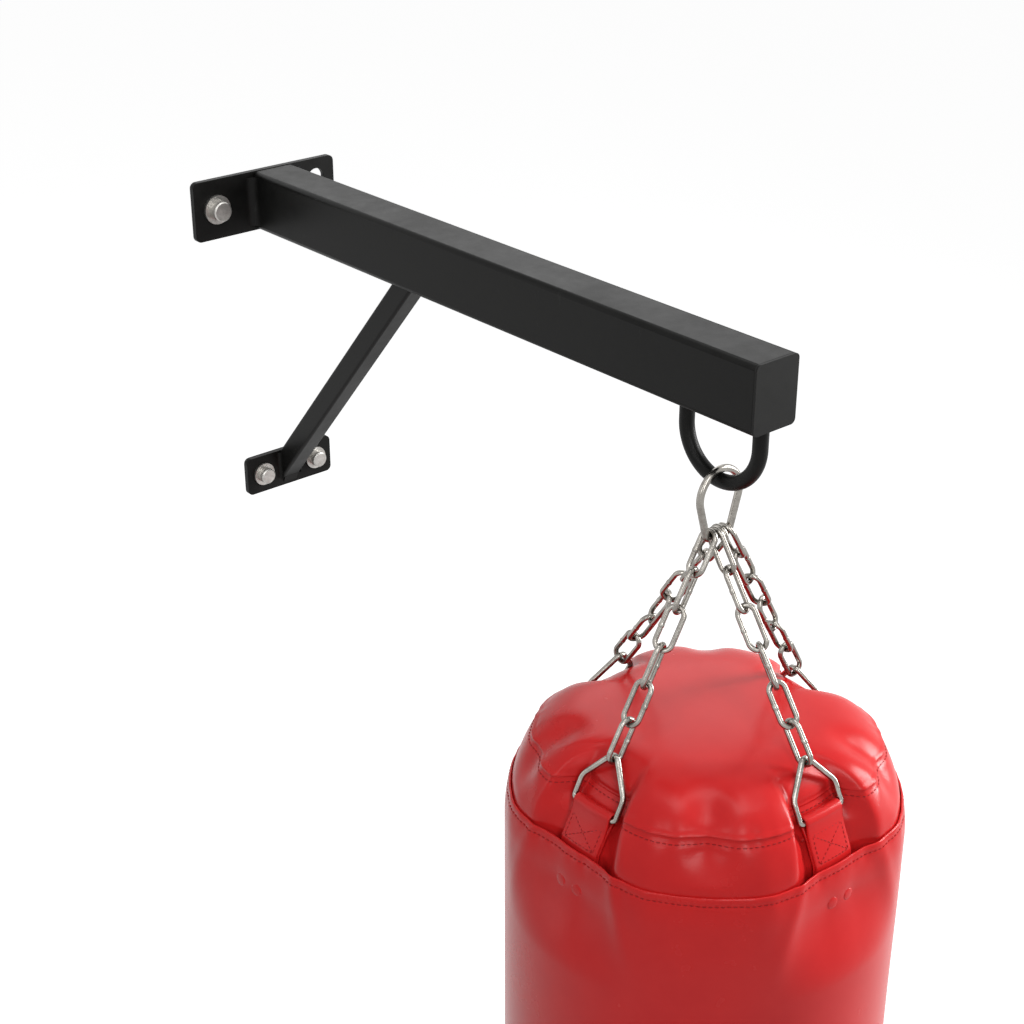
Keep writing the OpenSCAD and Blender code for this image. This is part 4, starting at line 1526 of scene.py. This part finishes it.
@dataclass
class Studio:
    """White studio: pale floor, white surroundings and soft lamps.

    The fill is the surroundings' strength as a light. Seen or mirrored, they are plain white.
    """

    floor_z: float = -1.80
    floor_r: float = 22.0
    floor_sides: int = 64
    fill: float = 0.19
    lamps: tuple[Softbox, ...] = (
        Softbox("overhead_softbox", (0.3, -0.5, 2.3), (0.0, -0.45, -0.3), (1.3, 1.3), 17.0),
        Softbox("wall_side_softbox", (1.55, 1.35, 1.15), (0.0, -0.45, -0.1), (1.3, 1.0), 6.0),
        Softbox("right_softbox", (2.2, -1.5, 0.5), (0.0, -0.5, -0.4), (0.7, 2.0), 84.0),
        Softbox("front_right_softbox", (-0.88, -2.32, 1.17), (0.0, -0.5, -0.3), (0.42, 2.0), 21.0),
        Softbox("front_left_softbox", (-1.91, -1.16, 1.17), (0.0, -0.5, -0.3), (0.42, 2.0), 10.0),
        Softbox("left_rim_softbox", (-1.9, 0.9, 0.0), (0.0, -0.5, -0.6), (0.5, 2.2), 4.0),
    )

    def build(self) -> None:
        """Adds the floor, the world and the lamps."""
        axes = (Vector((1.0, 0.0, 0.0)), Vector((0.0, 1.0, 0.0)), Vector((0.0, 0.0, 1.0)))
        middle = Vector((0.0, -0.5, self.floor_z))
        rim = turned(middle, axes, [(self.floor_r, 0.0)], self.floor_sides)[0]
        floor = new_piece("studio_floor", rim, [list(range(len(rim)))], smooth=False)
        floor.data.materials.append(pale_floor())
        world = bpy.data.worlds.new("white_studio")
        world.use_nodes = True
        sheet = NodeSheet(world.node_tree)
        seen = ray_mask(sheet, "Is Camera Ray", "Is Glossy Ray", "Is Transmission Ray")
        strength = sheet.ramp(seen, 0.0, 1.0, self.fill, 1.0)
        light = sheet.add("Background", Color=WHITE, Strength=strength)
        sheet.fill(sheet.add("OutputWorld").inputs["Surface"], light.outputs[0])
        bpy.context.scene.world = world
        for lamp in self.lamps:
            lamp.build()
        bpy.context.scene.view_settings.view_transform = "Standard"


# ----------------------------------------------------------------------------------------------
# Putting it together
# ----------------------------------------------------------------------------------------------


def dress(piece: bpy.types.Object, material: bpy.types.Material) -> bpy.types.Object:
    """Gives a piece or a CAD node one material and returns it."""
    slots = piece.data.materials
    if len(slots):
        for k in range(len(slots)):
            slots[k] = material
    else:
        slots.append(material)
    return piece


def soften_edges(node: bpy.types.Object, width: float) -> None:
    """Rounds the sharp edges of a CAD node by a modifier, its own mesh staying as it is."""
    weld = node.modifiers.new("weld", "WELD")
    weld.merge_threshold = 1e-6
    bevel = node.modifiers.new("edge_round", "BEVEL")
    bevel.width, bevel.segments, bevel.limit_method = width, 2, "ANGLE"
    bevel.angle_limit = math.radians(50)
    bevel.harden_normals = True


def bag_form(camera: PhotoCamera) -> BagForm:
    """Reads the bag's levels and radius from the frame, and the turns of its flutes from their image points.

    Args:
        camera: the camera, whose rays through the image points meet the shoulder as deep as its flutes go.

    Returns:
        The bag's form.
    """
    ring_low, ring_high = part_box("hanger_ring")
    side_low, side_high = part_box("side_panel")
    form = BagForm(
        axis_y=(ring_low[1] + ring_high[1]) / 2,
        crown_z=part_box("top_panel")[1][2],
        seam_z=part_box("top_panel")[0][2],
        rim_z=side_high[2],
        base_z=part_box("bottom_panel")[0][2],
        radius=(side_high[0] - side_low[0]) / 2,
    )
    deep = replace(form, seam_r=form.seam_r - 7 * MM)
    shoulder = BVHTree.FromPolygons(*grid(Bag(deep).shoulder_rows()))
    names = ("front_flute", "left_fold", "right_fold")
    front, left, right = (form.turn_of(camera.meet(shoulder, name)) for name in names)
    log.info("flutes at turns %.1f, %.1f and %.1f", front, left, right)
    form.tucks = (
        Tuck(front, 5.8 * MM, 6.4, 1.0 * MM, at_seam=0.7),
        Tuck(left, 6.5 * MM, 6.2, 0.4 * MM, at_seam=1.0),
        Tuck(right, 6.0 * MM, 6.2, 0.4 * MM, at_seam=1.0),
        Tuck(136.0, 4.5 * MM, 6.0),
    )
    return form


def strap_for(side: Side, form: BagForm) -> Strap:
    """Places a strap around its D-ring's bar, whose place comes from the frame."""
    low, high = (Vector(v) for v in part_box(f"{side.name.lower()}_d_ring"))
    reach = {
        Side.FRONT: form.axis_y - low.y, Side.BACK: high.y - form.axis_y,
        Side.RIGHT: high.x, Side.LEFT: -low.x,
    }[side]
    return Strap(side, form, reach - D_RING_ROD_R, low.z + D_RING_ROD_R)


def edge_of(
    camera: PhotoCamera,
    piece: bpy.types.Object,
    key: Callable[[float, float], float],
    band: tuple[float, float] = (-math.inf, math.inf),
) -> Vector:
    """Finds the point of a finished piece that shows furthest one way in the image.

    Args:
        camera: the camera.
        piece: the piece.
        key: the image coordinate or its negative, to be the least.
        band: lowest and highest image y to look at.

    Returns:
        The point.
    """
    graph = bpy.context.evaluated_depsgraph_get()
    mesh = piece.evaluated_get(graph).to_mesh()
    pixels = [(camera.pixel(vert.co), vert.co.copy()) for vert in mesh.vertices]
    inside = [(key(x, y), place) for (x, y), place in pixels if band[0] <= y <= band[1]]
    return min(inside, key=lambda entry: entry[0])[1]


def flute_line(
    camera: PhotoCamera, pieces: Sequence[bpy.types.Object], form: BagForm, name: str, turn: float
) -> Vector:
    """Finds the bottom of a flute in the finished skins at the height of its image point.

    Args:
        camera: the camera.
        pieces: the skins that the flute crosses.
        form: the bag's form.
        name: the image point's name.
        turn: the flute's turn about the axis in degrees.

    Returns:
        The skins' point that lies deepest in the flute, at the image point's height in the image.
    """
    level = IMAGE_POINTS[name][1]
    verts = [v.co.copy() for piece in pieces for v in piece.data.vertices]
    near = [v for v in verts if abs(turn_gap(form.turn_of(v), turn)) < 2.5 and v.y < form.axis_y + 0.2]
    near = [v for v in near if abs(camera.pixel(v)[1] - level) < 2.5]
    return min(near, key=lambda v: math.hypot(v.x, v.y - form.axis_y))


def in_box(box: tuple, x: float, y: float, z: float) -> Vector:
    """Returns the point of a box that lies at shares of its sides, from 0 at its low corner to 1."""
    low, high = (Vector(corner) for corner in box)
    return low + Vector([share * side for share, side in zip((x, y, z), high - low)])


def shown_points(camera: PhotoCamera, bag: Bag, pieces: dict[str, bpy.types.Object]) -> dict[str, Vector]:
    """Works out where each named feature really is in the row frame.

    Args:
        camera: the camera.
        bag: the bag as built.
        pieces: the bag's finished skins by name.

    Returns:
        The features' places by their image points' names.
    """
    form = bag.form
    skins = (pieces["top_panel_skin"], pieces["shoulder_band_skin"])
    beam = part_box("beam_end_cap")
    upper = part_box("upper_wall_plate")
    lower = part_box("lower_wall_plate")
    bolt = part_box("upper_anchor_bolt")
    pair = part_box("lower_anchor_bolts")
    left_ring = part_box("left_d_ring")
    front_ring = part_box("front_d_ring")
    side = pieces["side_panel_skin"]
    rod = D_RING_ROD_R
    lip = 1.2 * MM
    pair_r = (pair[1][2] - pair[0][2]) / 2

    def seam(phi: float) -> Vector:
        """Returns the seam lip's edge at a turn."""
        return form.place(phi, form.shoulder_radius(phi, form.seam_rise) + lip, form.seam_z - lip)

    def hem(phi: float) -> Vector:
        """Returns the hem's edge at a turn."""
        return form.place(phi, form.side_radius(phi, 0.0), form.rim_z)

    def lowest(line: Callable[[float], Vector], name: str) -> Vector:
        """Returns the point of a line about the bag that shows lowest beside an image point."""
        near = [line(k * 0.5) for k in range(720)]
        near = [p for p in near if abs(camera.pixel(p)[0] - IMAGE_POINTS[name][0]) < 2.0]
        return max(near, key=lambda p: camera.pixel(p)[1])

    shown = {
        "beam_tip_top_left": in_box(beam, 0, 0, 1),
        "beam_tip_top_right": in_box(beam, 1, 0, 1),
        "beam_tip_bottom_left": in_box(beam, 0, 0, 0),
        "beam_tip_bottom_right": in_box(beam, 1, 0, 0),
        "upper_plate_top_left": in_box(upper, 0, 0, 1),
        "lower_plate_bottom_left": in_box(lower, 0, 0, 0),
        "lower_plate_top_right": in_box(lower, 1, 0, 1),
        "upper_bolt_head": in_box(bolt, 0.5, 0, 0.5),
        "lower_left_bolt_head": in_box(pair, 0, 0, 0.5) + Vector((pair_r, 0.0, 0.0)),
        "hook_bottom": edge_of(camera, frame["nodes"]["u_hook"], lambda x, y: -y),
        "left_d_ring_top": in_box(left_ring, 1, 0.5, 1) - Vector((rod, 0.0, rod)),
        "front_d_ring_top": in_box(front_ring, 0.5, 1, 1) - Vector((0.0, rod, rod)),
        "seam_middle": lowest(seam, "seam_middle"),
        "hem_middle": lowest(hem, "hem_middle"),
    }
    for tuck, name in zip(form.tucks, ("front_flute", "left_fold", "right_fold")):
        shown[name] = flute_line(camera, skins, form, name, tuck.turn)
    cap = IMAGE_POINTS["left_rivet_cap"]
    shown["left_rivet_cap"] = min(bag.cap_middles(), key=lambda p: math.dist(camera.pixel(p), cap))
    shown["bag_left"] = edge_of(camera, side, lambda x, y: x, (848.0, 852.0))
    shown["bag_right"] = edge_of(camera, side, lambda x, y: -x, (813.0, 817.0))
    return shown


def make_finishes() -> dict[str, bpy.types.Material]:
    """Makes each material once and returns them by name."""
    effects = Effects()
    zinc = PlatedSteel("zinc_plate", (0.36, 0.35, 0.33), (0.58, 0.565, 0.54), (0.46, 0.32), 160.0)
    finishes = (BlackCoat(), BlackPlastic(), zinc, PlatedSteel("chain_steel"), RedVinyl(), Thread())
    return {finish.name: finish.make(effects) for finish in finishes}


def dress_nodes(finishes: dict[str, bpy.types.Material]) -> None:
    """Gives every CAD node the finish of its material slot, and rounds the edges of the large steel."""
    finish_of = {"cap_plastic": finishes["black_plastic"], **finishes}
    finish_of |= {slot: finishes["red_vinyl"] for slot in ("base_vinyl", "rivet_paint", "foam", "textile")}
    for entry in frame["record"]["subparts"]:
        dress(frame["nodes"][entry["node"]], finish_of[entry["material_slot"]])
    edges = {"beam_tube": 0.5, "beam_end_cap": 0.7, "upper_wall_plate": 0.6, "lower_wall_plate": 0.6}
    for name, width in edges.items():
        soften_edges(frame["nodes"][name], width * MM)


def add_skins(bag: Bag, vinyl: bpy.types.Material) -> dict[str, bpy.types.Object]:
    """Makes the bag's skins in place of the CAD's panels, clear of the D-rings.

    Args:
        bag: the bag.
        vinyl: the skins' material.

    Returns:
        The skins by name.
    """
    bag.settle_shoulder()
    pieces: dict[str, bpy.types.Object] = {}
    for maker, stands_for, fill in (
        (bag.top_panel, ("top_panel",), 0.9),
        (bag.shoulder_band, ("shoulder_band",), 0.9),
        (bag.side_panel, ("side_panel", "foam_lining", "filling"), 1.0),
        (bag.base, ("bottom_panel",), 0.9),
    ):
        piece = dress(maker(), vinyl)
        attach(piece, "bag")
        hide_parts(*stands_for)
        pieces[piece.name] = piece
        log.info("%s: %d faces", piece.name, len(piece.data.polygons))
    rings = tree_of(*(frame["nodes"][f"{side.name.lower()}_d_ring"] for side in Side))
    for name in ("top_panel_skin", "shoulder_band_skin"):
        keep_clear(pieces[name], rings, bag.form.axis_y, 0.8 * MM)
    return pieces


def add_trim(bag: Bag, spot: Vector, finishes: dict[str, bpy.types.Material]) -> None:
    """Adds the rivet heads, the stitches, the straps and the links' welds.

    Args:
        bag: the bag.
        spot: the middle of one rivet head, which the others repeat around the bag.
        finishes: the materials by name.
    """
    form, vinyl, thread = bag.form, finishes["red_vinyl"], finishes["red_thread"]
    form.cap_turn, form.cap_drop = form.off_strap(form.turn_of(spot)), form.rim_z - spot.z
    log.info("rivet heads %.2f degrees off the straps, %.1f mm down", form.cap_turn, form.cap_drop / MM)
    caps = dress(bag.rivet_caps(), vinyl)
    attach(caps, "bag")
    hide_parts("strap_rivets")
    for maker in (bag.seam_stitches, bag.hem_stitches, bag.base_stitches):
        piece = dress(maker(), thread)
        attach(piece, "bag")
        log.info("%s: %d faces", piece.name, len(piece.data.polygons))
    for side in Side:
        strap = strap_for(side, form)
        web = dress(strap.build(), vinyl)
        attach(web, "bag")
        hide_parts(f"{side.name.lower()}_strap")
        sewing = dress(strap.sewing(StitchRun(2.4 * MM, 1.1 * MM, 0.3 * MM)), thread)
        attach(sewing, "bag")
        log.info("%s strap: bar at %.4f, %.4f", side.name.lower(), strap.bar_r, strap.bar_z)
    chains = [frame["nodes"][f"{side.name.lower()}_chain"] for side in Side]
    beads = dress(Hardware().weld_beads("link_welds", chains), finishes["chain_steel"])
    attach(beads, "bag")


def main() -> None:
    """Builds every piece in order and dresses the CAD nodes."""
    logging.basicConfig(level=logging.INFO, format="%(name)s: %(message)s")
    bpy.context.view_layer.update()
    camera = PhotoCamera()
    camera.build()
    Studio().build()
    finishes = make_finishes()
    dress_nodes(finishes)
    bag = Bag(bag_form(camera))
    pieces = add_skins(bag, finishes["red_vinyl"])
    spot = camera.meet(tree_of(pieces["side_panel_skin"]), "left_rivet_cap")
    add_trim(bag, spot, finishes)

    shown_points(camera, bag, pieces)


if __name__ == "__main__":
    main()
